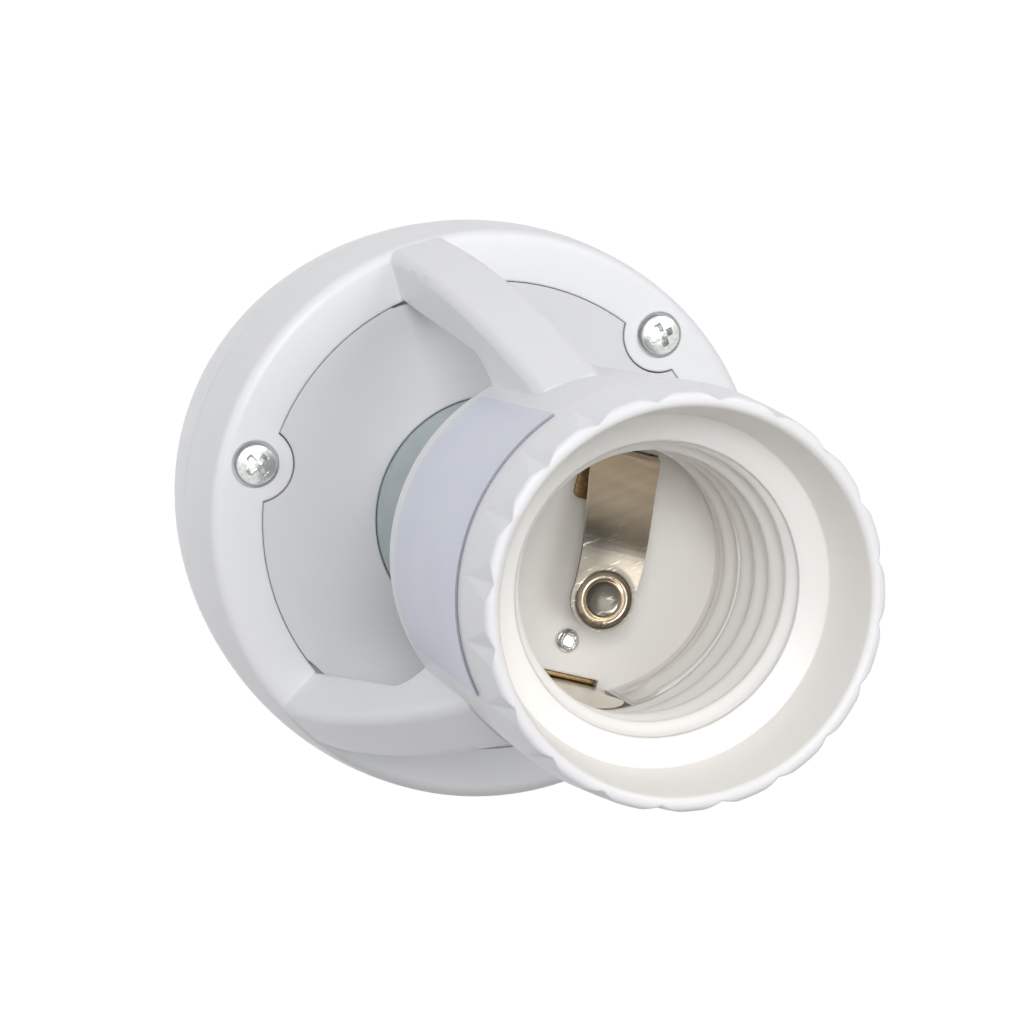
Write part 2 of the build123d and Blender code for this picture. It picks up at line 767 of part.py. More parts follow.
# Rectifier diodes: four of them, lying against the board
with BuildPart() as rectifier_diodes:
    with BuildSketch(Plane.YZ.offset(diode_place[0])):
        with Locations((diode_place[1], board_under_z - diode_radius)):
            with GridLocations(diode_spacing_y, 0, 2, 1):
                Circle(diode_radius)
    extrude(amount=(diode_spacing_x + diode_length) / 2, both=True)
    with BuildSketch(Plane.YZ.offset(diode_place[0])):
        with Locations((diode_place[1], board_under_z - diode_radius)):
            Rectangle(diode_spacing_y + 2 * diode_radius, 2 * diode_radius)
    extrude(amount=(diode_spacing_x - diode_length) / 2, both=True, mode=Mode.SUBTRACT)
rectifier_diodes.part.label = "rectifier_diodes"
export_step(rectifier_diodes.part, "parts/rectifier_diodes.step")

with BuildPart() as resistors:
    with BuildSketch(Plane.YZ.offset(resistor_start_x)):
        for place_y in resistor_places_y:
            with Locations((place_y, board_under_z - resistor_radius)):
                Circle(resistor_radius)
    extrude(amount=resistor_length)
resistors.part.label = "resistors"
export_step(resistors.part, "parts/resistors.step")


# Three long pan-head screws hold the cage to the rear housing
screw_seat_z = ring_front_z - screw_recess_depth
with BuildPart() as housing_screw:
    with BuildSketch(Plane.XY.offset(screw_seat_z)):
        Circle(screw_head_radius)
    extrude(amount=screw_head_height)
    fillet(housing_screw.edges().group_by(Axis.Z)[-1], screw_head_rounding)
    with BuildSketch(Plane.XY.offset(screw_seat_z)):
        Circle(screw_radius)
    extrude(amount=-screw_length)
with BuildPart() as housing_screws:
    with PolarLocations(boss_circle, arm_count, boss_start_angle):
        add(housing_screw.part)
housing_screws.part.label = "housing_screws"
export_step(housing_screws.part, "parts/housing_screws.step")

# Three short screws hold the board, their heads underneath
with BuildPart() as board_screw:
    with BuildSketch(Plane.XY.offset(board_under_z)):
        Circle(board_screw_head_radius)
    extrude(amount=-board_screw_head_height)
    with BuildSketch(Plane.XY.offset(board_under_z)):
        Circle(board_screw_radius)
    extrude(amount=board_screw_length)
with BuildPart() as board_screws:
    with PolarLocations(standoff_circle, arm_count):
        add(board_screw.part)
board_screws.part.label = "board_screws"
export_step(board_screws.part, "parts/board_screws.step")

# Centre contact: leaf that rises from its slot to a round head with a pressed ring
head_z = floor_z + centre_head_height
leaf_tail_z = floor_under_z - tail_drop
with BuildPart() as centre_contact:
    with BuildSketch(upright_plane(contact_angle).offset(centre_shift)):
        with BuildLine():
            FilletPolyline(
                (centre_root, leaf_tail_z),
                (centre_root, floor_z + leaf_stand),
                (centre_crook, head_z),
                (-centre_head_reach - 2 * centre_head_radius, head_z),
                radius=centre_bend,
            )
        trace(line_width=leaf_thickness)
    extrude(amount=centre_width, both=True)
    with BuildSketch(contact_plane(leaf_tail_z - leaf_thickness, contact_angle, centre_shift)):
        with Locations((-centre_head_reach, 0)):
            Circle(centre_head_radius)
        with BuildLine():
            Polyline(
                (-centre_head_reach, -centre_neck_width / 2),
                (centre_root + leaf_thickness, -centre_width / 2),
                (centre_root + leaf_thickness, centre_width / 2),
                (-centre_head_reach, centre_neck_width / 2),
                close=True,
            )
        make_face()
    extrude(amount=head_z, mode=Mode.INTERSECT)
    with BuildSketch(contact_plane(head_z, contact_angle, centre_shift)):
        with Locations((-centre_head_reach, 0)):
            Circle(button_radius)
            Circle(button_radius - button_width, mode=Mode.SUBTRACT)
    extrude(amount=leaf_thickness / 2 + button_rise)
centre_contact.part.label = "centre_contact"
export_step(centre_contact.part, "parts/centre_contact.step")

# Side contact: leaf that leans out from its slot to an end with rounded corners
leaf_top_z = floor_z + side_height + leaf_thickness / 2
with BuildPart() as side_contact:
    with BuildSketch(upright_plane(side_angle)):
        with BuildLine():
            FilletPolyline(
                (side_root, leaf_tail_z),
                (side_root, floor_z + leaf_stand),
                (side_root + side_lean, floor_z + side_height),
                radius=side_bend,
            )
        trace(line_width=leaf_thickness)
    extrude(amount=side_width, both=True)
    turn = radians(side_angle)
    leaf_face = Plane(origin=(0, 0, 0), x_dir=(-sin(turn), cos(turn), 0), z_dir=(cos(turn), sin(turn), 0))
    with BuildSketch(leaf_face) as leaf_outline:
        with Locations((0, leaf_top_z)):
            Rectangle(side_width, side_end_height, align=(Align.CENTER, Align.MAX))
        fillet(leaf_outline.vertices(), side_corner)
        with Locations((0, leaf_top_z - side_corner)):
            leaf_length = leaf_top_z - leaf_tail_z
            Rectangle(side_root_width, leaf_length, align=(Align.CENTER, Align.MAX))
    extrude(amount=chamber_radius + pocket_depth, mode=Mode.INTERSECT)
side_contact.part.label = "side_contact"
export_step(side_contact.part, "parts/side_contact.step")


def contact_base(angle, shift, root, swing_out, slot_width):
    """Plate under the floor, with a slot for the leaf's tail."""
    with BuildPart() as plate:
        with BuildSketch(contact_plane(floor_under_z, angle, shift)):
            with Locations((root + base_reach, 0)):
                RectangleRounded(
                    base_length, base_width, base_corner, align=(Align.MAX, Align.CENTER)
                )
            with Locations((root + swing_out * (leaf_swing - leaf_gap) / 2, 0)):
                Rectangle(leaf_thickness + leaf_gap + leaf_swing, slot_width, mode=Mode.SUBTRACT)
        extrude(amount=-base_thickness)
    return plate.part


# Base of the centre leaf: a leg joins the plate under the floor to a foot on top of it
with BuildPart() as centre_contact_base:
    add(contact_base(contact_angle, centre_shift, centre_root, 1, centre_width + 2 * leaf_gap))
    with BuildSketch(contact_plane(floor_under_z, contact_angle, centre_shift)):
        with Locations((foot_outer, 0)):
            Rectangle(base_thickness, leg_width, align=(Align.MAX, Align.CENTER))
    extrude(amount=floor_thickness)
    with BuildSketch(contact_plane(floor_z, contact_angle, centre_shift)):
        with Locations((foot_outer, 0)):
            RectangleRounded(
                foot_outer - foot_inner, foot_width, foot_corner, align=(Align.MAX, Align.CENTER)
            )
    extrude(amount=base_thickness)
    with BuildSketch(contact_plane(floor_z + base_thickness, contact_angle, centre_shift)):
        with Locations((centre_rivet_circle, 0)):
            Circle(rivet_shank + rivet_gap)
    extrude(amount=-floor_thickness - 2 * base_thickness, mode=Mode.SUBTRACT)
centre_contact_base.part.label = "centre_contact_base"
export_step(centre_contact_base.part, "parts/centre_contact_base.step")

with BuildPart() as side_contact_base:
    add(contact_base(side_angle, 0, side_root, -1, side_root_width + 2 * leaf_gap))
    with BuildSketch(contact_plane(floor_under_z, side_angle, 0)):
        with Locations((side_rivet_circle, 0)):
            Circle(rivet_shank + rivet_gap)
    extrude(amount=-base_thickness, mode=Mode.SUBTRACT)
side_contact_base.part.label = "side_contact_base"
export_step(side_contact_base.part, "parts/side_contact_base.step")


def rivet(seat_z):
    """Rivet on the axis, its round head on the seat and its end under a base."""
    with BuildPart() as made:
        with BuildSketch(Plane.XZ):
            with BuildLine():
                edge = Line((rivet_radius, seat_z), (rivet_radius, seat_z + rivet_edge))
                crown = cap_arc(rivet_radius, seat_z + rivet_edge, seat_z + rivet_height)
                shank_low_z = floor_under_z - base_thickness - rivet_end
                Polyline(
                    crown @ 1,
                    (0, shank_low_z),
                    (rivet_shank, shank_low_z),
                    (rivet_shank, seat_z),
                    edge @ 0,
                )
            make_face()
        revolve(axis=Axis.Z)
    return made.part


# Rivets that hold the bases to the floor
with BuildPart() as contact_rivets:
    with Locations(contact_plane(0, side_angle, 0)):
        with Locations((side_rivet_circle, 0, 0)):
            add(rivet(floor_z))
    with Locations(contact_plane(0, contact_angle, centre_shift)):
        with Locations((centre_rivet_circle, 0, 0)):
            add(rivet(floor_z + base_thickness))
contact_rivets.part.label = "contact_rivets"
export_step(contact_rivets.part, "parts/contact_rivets.step")

# Cover that closes the wiring space behind the floor
with BuildPart() as socket_back_cover:
    with BuildSketch(Plane.XY.offset(barrel_rear_z)):
        Circle(cover_radius - cover_gap)
    extrude(amount=cover_thickness)
    chamfer(socket_back_cover.edges().group_by(Axis.Z)[0], cover_chamfer)
socket_back_cover.part.label = "socket_back_cover"
export_step(socket_back_cover.part, "parts/socket_back_cover.step")

# Leads from the board, through two arms, to the bases of the contacts
board_lead_route = [
    (lead_board_radius, board_top_z),
    (lead_board_radius, board_top_z + lead_board_rise),
    (lead_foot_radius, board_top_z + lead_turn_rise),
]


def arm_lead(angle):
    """Insulated lead along the middle of the arm at the angle."""
    with BuildPart() as lead:
        with BuildLine() as path:
            lead_path(angle, board_lead_route + arm_lead_route[1:], arm_lead_bend)
        with BuildSketch(Plane(origin=path.line @ 0, z_dir=path.line % 0)):
            Circle(lead_radius)
        sweep()
    return lead.part


with BuildPart() as live_lead:
    add(arm_lead(arm_start_angle))
live_lead.part.label = "live_lead"
export_step(live_lead.part, "parts/live_lead.step")

with BuildPart() as neutral_lead:
    add(arm_lead(arm_start_angle + 360.0 / arm_count))
neutral_lead.part.label = "neutral_lead"
export_step(neutral_lead.part, "parts/neutral_lead.step")

# Cap: plain shell of the screw, with a hem that closes on the insulator
hem_z = -cap_length - cap_hem_drop
with BuildPart() as screw_cap:
    with BuildSketch(Plane.XZ):
        with BuildLine():
            shell_side = Line((cap_radius, 0), (cap_radius, -cap_length))
            hem = TangentArc(shell_side @ 1, (cap_hem_radius, hem_z), tangent=(0, -1))
            inner_z = hem_z + cap_wall
            inner = Line(hem @ 1, (cap_hem_radius, inner_z))
            inner_hem = ThreePointArc(
                inner @ 1,
                (cap_radius - cap_wall - cap_curl_inset, -cap_length - cap_curl_drop),
                (cap_radius - cap_wall, -cap_length + cap_curl_rise),
            )
            Polyline(inner_hem @ 1, (cap_radius - cap_wall, 0), shell_side @ 0)
        make_face()
    revolve(axis=Axis.Z)
screw_cap.part.label = "screw_cap"
export_step(screw_cap.part, "parts/screw_cap.step")

# Insulator between the shell and the tip
insulator_z = hem_z - insulator_drop
with BuildPart() as cap_insulator:
    with BuildSketch(Plane.XZ):
        with BuildLine():
            rim = (cap_hem_radius - cap_gap, hem_z - cap_gap)
            cone = Line(rim, (insulator_tip_radius, insulator_z))
            Polyline(
                cone @ 1,
                (cap_lead_radius + cap_lead_gap, insulator_z),
                (cap_lead_radius + cap_lead_gap, hem_z + cap_wall + insulator_seat),
                (cap_hem_radius - cap_gap, hem_z + cap_wall + insulator_seat),
                cone @ 0,
            )
        make_face()
    revolve(axis=Axis.Z)
cap_insulator.part.label = "cap_insulator"
export_step(cap_insulator.part, "parts/cap_insulator.step")

# Tip contact: shallow dome under the insulator
with BuildPart() as cap_tip_contact:
    with BuildSketch(Plane.XZ):
        with BuildLine():
            top = Line((0, insulator_z), (tip_radius, insulator_z))
            Line(top @ 1, (tip_radius, insulator_z - tip_edge))
            tip = cap_arc(tip_radius, insulator_z - tip_edge, insulator_z - tip_drop)
            Line(tip @ 1, top @ 0)
        make_face()
    revolve(axis=Axis.Z)
cap_tip_contact.part.label = "cap_tip_contact"
export_step(cap_tip_contact.part, "parts/cap_tip_contact.step")

# Leads from the cap up to the board
tip_lead_points = [
    (0, 0, insulator_z),
    (0, 0, -lead_sway_low),
    (*tip_lead_place, lead_sway_high - lead_sway_low),
    (*tip_lead_place, board_under_z),
]
shell_lead_z = -spigot_length - cap_lead_drop
shell_lead_points = [
    (cap_radius - cap_wall - cap_gap, 0, shell_lead_z),
    (shell_lead_inset, 0, shell_lead_z),
    (shell_lead_inset, 0, lead_sway_low),
    (*shell_lead_place, lead_sway_high),
    (*shell_lead_place, board_under_z),
]
with BuildPart() as cap_tip_lead:
    with BuildLine() as tip_path:
        FilletPolyline(*tip_lead_points, radius=tip_lead_bend)
    with BuildSketch(Plane(origin=tip_path.line @ 0, z_dir=tip_path.line % 0)):
        Circle(cap_lead_radius)
    sweep()
cap_tip_lead.part.label = "cap_tip_lead"
export_step(cap_tip_lead.part, "parts/cap_tip_lead.step")

with BuildPart() as cap_shell_lead:
    with BuildLine() as shell_path:
        FilletPolyline(*shell_lead_points, radius=shell_lead_bend)
    with BuildSketch(Plane(origin=shell_path.line @ 0, z_dir=shell_path.line % 0)):
        Circle(cap_lead_radius)
    sweep()
cap_shell_lead.part.label = "cap_shell_lead"
export_step(cap_shell_lead.part, "parts/cap_shell_lead.step")

# Rating label: thin foil wrapped on the barrel
label_low_z = barrel_rear_z + label_rear_edge
label_high_z = label_low_z + label_width
with BuildPart() as rating_label:
    with BuildSketch(upright_plane(label_start_angle)):
        low_radius = barrel_radius_at(label_low_z) + label_gap
        high_radius = barrel_radius_at(label_high_z) + label_gap
        with BuildLine():
            Polyline(
                (low_radius, label_low_z),
                (low_radius + label_thickness, label_low_z),
                (high_radius + label_thickness, label_high_z),
                (high_radius, label_high_z),
                close=True,
            )
        make_face()
    revolve(axis=Axis.Z, revolution_arc=label_sweep)
rating_label.part.label = "rating_label"
export_step(rating_label.part, "parts/rating_label.step")
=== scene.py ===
# %% [markdown]
# A lamp holder with a motion sensor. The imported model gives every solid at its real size, in
# metres, with the axis of the socket along +Z. This lesson dresses it: first the camera that
# the photograph was taken with, then the finishes, then the few pieces whose surface is too
# fine for plain solids, such as the rolled threads, and last the light.

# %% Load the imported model
from math import cos, pi, radians, sin

import bpy
import numpy as np
from mathutils import Matrix, Vector


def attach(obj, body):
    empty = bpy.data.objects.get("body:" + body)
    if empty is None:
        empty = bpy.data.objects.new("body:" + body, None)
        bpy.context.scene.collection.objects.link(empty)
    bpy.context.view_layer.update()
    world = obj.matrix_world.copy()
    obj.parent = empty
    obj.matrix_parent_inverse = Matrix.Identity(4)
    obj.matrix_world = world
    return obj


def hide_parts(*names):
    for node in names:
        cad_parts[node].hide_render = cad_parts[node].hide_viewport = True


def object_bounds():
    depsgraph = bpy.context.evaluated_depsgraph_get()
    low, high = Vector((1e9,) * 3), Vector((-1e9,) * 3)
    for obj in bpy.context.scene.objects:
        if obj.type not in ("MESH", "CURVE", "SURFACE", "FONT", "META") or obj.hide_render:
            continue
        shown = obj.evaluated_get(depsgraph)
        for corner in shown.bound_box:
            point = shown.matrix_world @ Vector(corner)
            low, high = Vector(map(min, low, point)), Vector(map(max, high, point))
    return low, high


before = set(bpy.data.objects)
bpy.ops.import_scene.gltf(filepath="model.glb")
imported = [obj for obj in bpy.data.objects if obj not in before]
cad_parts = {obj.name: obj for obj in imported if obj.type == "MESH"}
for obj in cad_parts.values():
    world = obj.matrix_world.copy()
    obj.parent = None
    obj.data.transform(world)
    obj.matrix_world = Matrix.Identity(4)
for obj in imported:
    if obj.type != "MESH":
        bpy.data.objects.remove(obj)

MM = 0.001
cad_box = [[float(value) for value in corner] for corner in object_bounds()]
print("model box", cad_box)

# %% [markdown]
# The camera comes first, because everything is judged from there. Its place was worked out
# from the circles of the socket: the round mouth, the thread's entry and the ring of the bowl
# all lie on one axis, and their ellipses in the picture leave room for one camera only. It
# looks steeply into the mouth, from the side of the arm that is in front.

# %% Camera at the photograph's viewing angle
CAMERA_PLACE = Vector((-67.08, 58.52, 330.97)) * MM
CAMERA_RIGHT = Vector((0.9236, -0.2653, 0.2765))
CAMERA_UP = Vector((0.3068, 0.9443, -0.1190))
FOCAL_PIXELS = 2800.0
PICTURE_PIXELS = 1024.0

camera_data = bpy.data.cameras.new("photo_camera")
camera_data.sensor_width = 36.0
camera_data.lens = FOCAL_PIXELS / PICTURE_PIXELS * camera_data.sensor_width
camera_data.clip_start = 0.01
camera = bpy.data.objects.new("photo_camera", camera_data)
bpy.context.scene.collection.objects.link(camera)
camera_back = CAMERA_RIGHT.cross(CAMERA_UP).normalized()
camera_turn = Matrix((CAMERA_RIGHT, CAMERA_UP, camera_back)).transposed().to_4x4()
camera.matrix_world = Matrix.Translation(CAMERA_PLACE) @ camera_turn
bpy.context.scene.camera = camera
print("lens", round(camera_data.lens, 1), "mm")

# %% [markdown]
# A finish is a small net of nodes. Each one below starts from the Principled shader and gets
# slow changes of colour, a roughness that is not quite even, and a fine bump. All of them read
# Object coordinates, so that a pattern stays on its piece and keeps its real scale.

# %% Helpers: an empty finish and a noise pattern
def new_finish(name, roughness, metallic=0.0):
    """An empty finish: its Principled shader, with a plain roughness and metallic value."""
    material = bpy.data.materials.new(name)
    material.use_nodes = True
    shader = material.node_tree.nodes["Principled BSDF"]
    shader.inputs["Roughness"].default_value = roughness
    shader.inputs["Metallic"].default_value = metallic
    return material, shader


def noise(material, features_per_mm, detail=3.0, stretch=(1.0, 1.0, 1.0), turn=(0.0, 0.0, 0.0)):
    """A noise pattern in object space with about so many features to the millimetre."""
    nodes, links = material.node_tree.nodes, material.node_tree.links
    place = nodes.new("ShaderNodeTexCoord")
    mapping = nodes.new("ShaderNodeMapping")
    mapping.inputs["Scale"].default_value = stretch
    mapping.inputs["Rotation"].default_value = turn
    pattern = nodes.new("ShaderNodeTexNoise")
    pattern.inputs["Scale"].default_value = features_per_mm * 1000.0
    pattern.inputs["Detail"].default_value = detail
    links.new(place.outputs["Object"], mapping.inputs["Vector"])
    links.new(mapping.outputs["Vector"], pattern.inputs["Vector"])
    return pattern.outputs["Fac"]


print("first helpers ready")

# %% [markdown]
# A pattern is only numbers from 0 to 1. It becomes a finish when it is spread over a range of
# roughness, mixes two close colours, or tilts the surface's normals. A colour ramp is used for
# the colours, because its two stops also choose how much of the pattern counts.

# %% Helpers: a pattern used as colour, as roughness and as relief
def blend_colours(material, amount, colours, low=0.35, high=0.65):
    """Two colours mixed by a pattern, whose range from low to high is spread over the mix."""
    ramp = material.node_tree.nodes.new("ShaderNodeValToRGB")
    ramp.color_ramp.elements[0].position = low
    ramp.color_ramp.elements[1].position = high
    ramp.color_ramp.elements[0].color = (*colours[0], 1.0)
    ramp.color_ramp.elements[1].color = (*colours[1], 1.0)
    material.node_tree.links.new(amount, ramp.inputs["Fac"])
    return ramp.outputs["Color"]


def spread(material, amount, low, high):
    """A pattern from 0 to 1 spread over the values low to high."""
    span = material.node_tree.nodes.new("ShaderNodeMapRange")
    span.inputs["To Min"].default_value = low
    span.inputs["To Max"].default_value = high
    material.node_tree.links.new(amount, span.inputs["Value"])
    return span.outputs["Result"]


def bump(material, shader, height, depth_mm, strength):
    """Bends the surface's normals as if the pattern stood up by the depth."""
    relief = material.node_tree.nodes.new("ShaderNodeBump")
    relief.inputs["Distance"].default_value = depth_mm * MM
    relief.inputs["Strength"].default_value = strength
    material.node_tree.links.new(height, relief.inputs["Height"])
    material.node_tree.links.new(relief.outputs["Normal"], shader.inputs["Normal"])
    return relief


def set_finish(piece, material):
    """Gives a piece one finish."""
    piece.data.materials.clear()
    piece.data.materials.append(material)


print("pattern helpers ready")

# %% [markdown]
# Some finishes change with the place on the part, such as the inside of the socket against the
# outside. Two more helpers turn a place into a number from 0 to 1: one reads the height along
# the axis, the other the distance from it.

# %% Helpers: height along the axis and distance from it
def height_above(material, low_mm, high_mm):
    """0 below one height along the axis and 1 above the other."""
    nodes, links = material.node_tree.nodes, material.node_tree.links
    place = nodes.new("ShaderNodeTexCoord")
    split = nodes.new("ShaderNodeSeparateXYZ")
    span = nodes.new("ShaderNodeMapRange")
    span.inputs["From Min"].default_value = low_mm * MM
    span.inputs["From Max"].default_value = high_mm * MM
    links.new(place.outputs["Object"], split.inputs["Vector"])
    links.new(split.outputs["Z"], span.inputs["Value"])
    return span.outputs["Result"]


def axis_distance(material, low_mm, high_mm):
    """0 nearer the axis than one radius, 1 beyond the other."""
    nodes, links = material.node_tree.nodes, material.node_tree.links
    place = nodes.new("ShaderNodeTexCoord")
    flat = nodes.new("ShaderNodeVectorMath")
    flat.operation = "MULTIPLY"
    flat.inputs[1].default_value = (1.0, 1.0, 0.0)
    length = nodes.new("ShaderNodeVectorMath")
    length.operation = "LENGTH"
    span = nodes.new("ShaderNodeMapRange")
    span.inputs["From Min"].default_value = low_mm * MM
    span.inputs["From Max"].default_value = high_mm * MM
    links.new(place.outputs["Object"], flat.inputs[0])
    links.new(flat.outputs["Vector"], length.inputs[0])
    links.new(length.outputs["Value"], span.inputs["Value"])
    return span.outputs["Result"]


print("place helpers ready")

# %% [markdown]
# The cage, the bowl and the sensor plate are moulded in white plastic. Its colour here is not
# the same all over, and the difference is painted light: outside it has a breath of blue, which is
# painted cool light, and inside the socket it is warmer and paler, which is painted bounce light,
# as white plastic soaks up more blue than red and each bounce leaves the light warmer. The
# distance from the axis and the height keep the two apart. Its gloss is satin, and the mould
# leaves a very fine orange peel that only shows in the highlights. No moulded edge is truly sharp,
# so a Bevel node rounds the normals over a few tenths of a millimetre, and the peel is laid on top
# of that. The sensor plate gets a greyer copy of the finish, which is painted shade from the
# barrel and the arms over it.

# %% Finish: moulded white plastic
SOCKET_RADII = (16.9, 17.7)
SOCKET_LOWEST = (74.0, 72.0)
EDGE_ROUNDING = 0.35


def moulded_white(name, warm_tints, cool_tints):
    """White plastic: cooler outside than in, which is painted light, satin gloss that varies a
    little, and fine orange peel.
    """
    material, shader = new_finish(name, 0.34)
    nodes, links = material.node_tree.nodes, material.node_tree.links
    tint = noise(material, 0.035, detail=1.0)
    warm = blend_colours(material, tint, warm_tints)
    cool = blend_colours(material, tint, cool_tints)
    # The two tints are mixed by place, which paints light into the colour: warm bounce light inside
    # the socket and cool light outside.
    apart = nodes.new("ShaderNodeMath")
    apart.operation = "MAXIMUM"
    links.new(axis_distance(material, *SOCKET_RADII), apart.inputs[0])
    links.new(height_above(material, *SOCKET_LOWEST), apart.inputs[1])
    outside = nodes.new("ShaderNodeMix")
    outside.data_type = "RGBA"
    links.new(apart.outputs["Value"], outside.inputs["Factor"])
    links.new(warm, outside.inputs["A"])
    links.new(cool, outside.inputs["B"])
    links.new(outside.outputs["Result"], shader.inputs["Base Color"])
    handled = noise(material, 0.22, detail=4.0)
    gloss = spread(material, handled, 0.27, 0.44)
    links.new(gloss, shader.inputs["Roughness"])
    peel = noise(material, 2.2, detail=2.0)
    relief = bump(material, shader, peel, 0.004, 0.35)
    edges = nodes.new("ShaderNodeBevel")
    edges.samples = 4
    edges.inputs["Radius"].default_value = EDGE_ROUNDING * MM
    links.new(edges.outputs["Normal"], relief.inputs["Normal"])
    shader.inputs["Specular IOR Level"].default_value = 0.45
    shader.inputs["Subsurface Weight"].default_value = 0.12
    shader.inputs["Subsurface Radius"].default_value = (1.0, 0.9, 0.85)
    shader.inputs["Subsurface Scale"].default_value = 0.0015
    return material


# Painted light: the warm tints stand for bounce light inside the socket and the cool ones for cool
# light outside. The plate's greyer tints are painted shade.
PAINTED_BOUNCE_TINTS = ((0.900, 0.882, 0.852), (0.922, 0.903, 0.874))
PAINTED_COOL_LIGHT_TINTS = ((0.852, 0.856, 0.876), (0.876, 0.877, 0.893))
PLATE_PAINTED_SHADE_TINTS = ((0.730, 0.733, 0.745), (0.756, 0.757, 0.768))
WHITE = moulded_white("moulded_white", PAINTED_BOUNCE_TINTS, PAINTED_COOL_LIGHT_TINTS)
# The plate's finish is the same plastic, made greyer as painted shade from the barrel and the arms.
PLATE_WHITE_PAINTED_SHADE = moulded_white("plate_white_painted_shade", PAINTED_BOUNCE_TINTS, PLATE_PAINTED_SHADE_TINTS)
print("finishes", WHITE.name, PLATE_WHITE_PAINTED_SHADE.name)

# %% [markdown]
# The dome over the sensor is milky polythene, thin enough to let heat and some light through.
# It reads as grey-green, with faint squares: the little lenses pressed into its inside. They
# could be modelled one by one, but that takes thousands of faces for a mark that hardly shows.
# A pattern of cells laid over the dome gives them, as shallow edges in the bump and the colour.

# %% Finish: milky lens
LENSES_PER_METRE = 190.0


def milky_lens():
    """Grey-green translucent plastic with the faint edges of the small lenses inside."""
    material, shader = new_finish("milky_lens", 0.24)
    nodes, links = material.node_tree.nodes, material.node_tree.links
    place = nodes.new("ShaderNodeTexCoord")
    cells = nodes.new("ShaderNodeTexVoronoi")
    cells.feature = "DISTANCE_TO_EDGE"
    cells.inputs["Scale"].default_value = LENSES_PER_METRE
    cells.inputs["Randomness"].default_value = 0.3
    links.new(place.outputs["Object"], cells.inputs["Vector"])
    colour = blend_colours(
        material, cells.outputs["Distance"], ((0.395, 0.450, 0.462), (0.420, 0.475, 0.486)), 0.0, 0.2
    )
    links.new(colour, shader.inputs["Base Color"])
    gloss = spread(material, noise(material, 0.3), 0.18, 0.28)
    links.new(gloss, shader.inputs["Roughness"])
    bump(material, shader, cells.outputs["Distance"], 0.02, 0.12)
    shader.inputs["Subsurface Weight"].default_value = 0.35
    shader.inputs["Subsurface Radius"].default_value = (0.8, 1.0, 1.0)
    shader.inputs["Subsurface Scale"].default_value = 0.002
    return material


LENS = milky_lens()
print("finish", LENS.name)

# %% [markdown]
# The contacts are nickel-plated spring strip. It was rolled, cut and pressed, so it carries
# long fine streaks along the strip, and where the cap of a lamp has rubbed it the plating is
# dull and scratched. A stretched noise gives the streaks, a finer one the scratches. A value
# that the mesh of the strip brings with it mixes in a dark colour, which is partly that dull
# wear and partly painted shade and dark reflections.

# %% Finishes: plated strip
def plated_strip(name, bright, dull, along, roughness=(0.12, 0.30)):
    """Plating with streaks and short scratches along one direction, given as a turn about the
    axis. The mesh's own value wear_and_painted_shade mixes the bright colours with the dark one,
    which is dull wear and painted shade together, and a mesh that has no such value stays bright."""
    material, shader = new_finish(name, 0.2, metallic=1.0)
    nodes, links = material.node_tree.nodes, material.node_tree.links
    streaks = noise(material, 0.9, detail=6.0, stretch=(0.05, 1.6, 0.4), turn=(0.0, 0.0, along))
    plating = blend_colours(material, streaks, bright, 0.3, 0.7)
    # The mesh's value mixes in the dark colour: dull wear, together with painted shade and dark
    # reflections.
    wear_and_painted_shade = nodes.new("ShaderNodeAttribute")
    wear_and_painted_shade.attribute_name = "wear_and_painted_shade"
    worn_and_shaded = nodes.new("ShaderNodeMix")
    worn_and_shaded.data_type = "RGBA"
    worn_and_shaded.inputs["B"].default_value = (*dull, 1.0)
    links.new(wear_and_painted_shade.outputs["Fac"], worn_and_shaded.inputs["Factor"])
    links.new(plating, worn_and_shaded.inputs["A"])
    scratches = noise(material, 2.2, detail=8.0, stretch=(0.22, 1.8, 1.0), turn=(0.0, 0.0, along))
    marks = blend_colours(material, scratches, ((0.0, 0.0, 0.0), (0.55, 0.55, 0.55)), 0.60, 0.72)
    scratched = nodes.new("ShaderNodeMix")
    scratched.data_type = "RGBA"
    scratched.inputs["B"].default_value = (0.80, 0.76, 0.68, 1.0)
    links.new(marks, scratched.inputs["Factor"])
    links.new(worn_and_shaded.outputs["Result"], scratched.inputs["A"])
    links.new(scratched.outputs["Result"], shader.inputs["Base Color"])
    scuffs = noise(material, 0.5, detail=8.0)
    links.new(spread(material, scuffs, *roughness), shader.inputs["Roughness"])
    bump(material, shader, streaks, 0.012, 0.5)
    return material


CENTRE_ANGLE = radians(59.0)
SIDE_ANGLE = radians(239.0)
BRIGHT_NICKEL = ((0.80, 0.69, 0.54), (0.92, 0.82, 0.67))
# The dark nickel is dull wear together with painted shade and dark reflections.
DULL_NICKEL_AND_PAINTED_SHADE = (0.125, 0.115, 0.097)
SIDE_NICKEL = ((0.66, 0.62, 0.54), (0.80, 0.76, 0.68))
CENTRE_STRIP = plated_strip("centre_strip", BRIGHT_NICKEL, DULL_NICKEL_AND_PAINTED_SHADE, -CENTRE_ANGLE)
SIDE_STRIP = plated_strip("side_strip", SIDE_NICKEL, DULL_NICKEL_AND_PAINTED_SHADE, -SIDE_ANGLE)
print("finishes", CENTRE_STRIP.name, SIDE_STRIP.name)

# %% [markdown]
# Screws, rivets, the shell of the base and the brown feet of the contacts were turned, headed
# or rolled, so they have no streaks in one direction. They get a fine grain and duller patches
# of handling. Only the colours and the range of roughness tell them apart. The feet's deep brown
# is partly the colour of the brass and partly painted shade, for the slots they sit in.

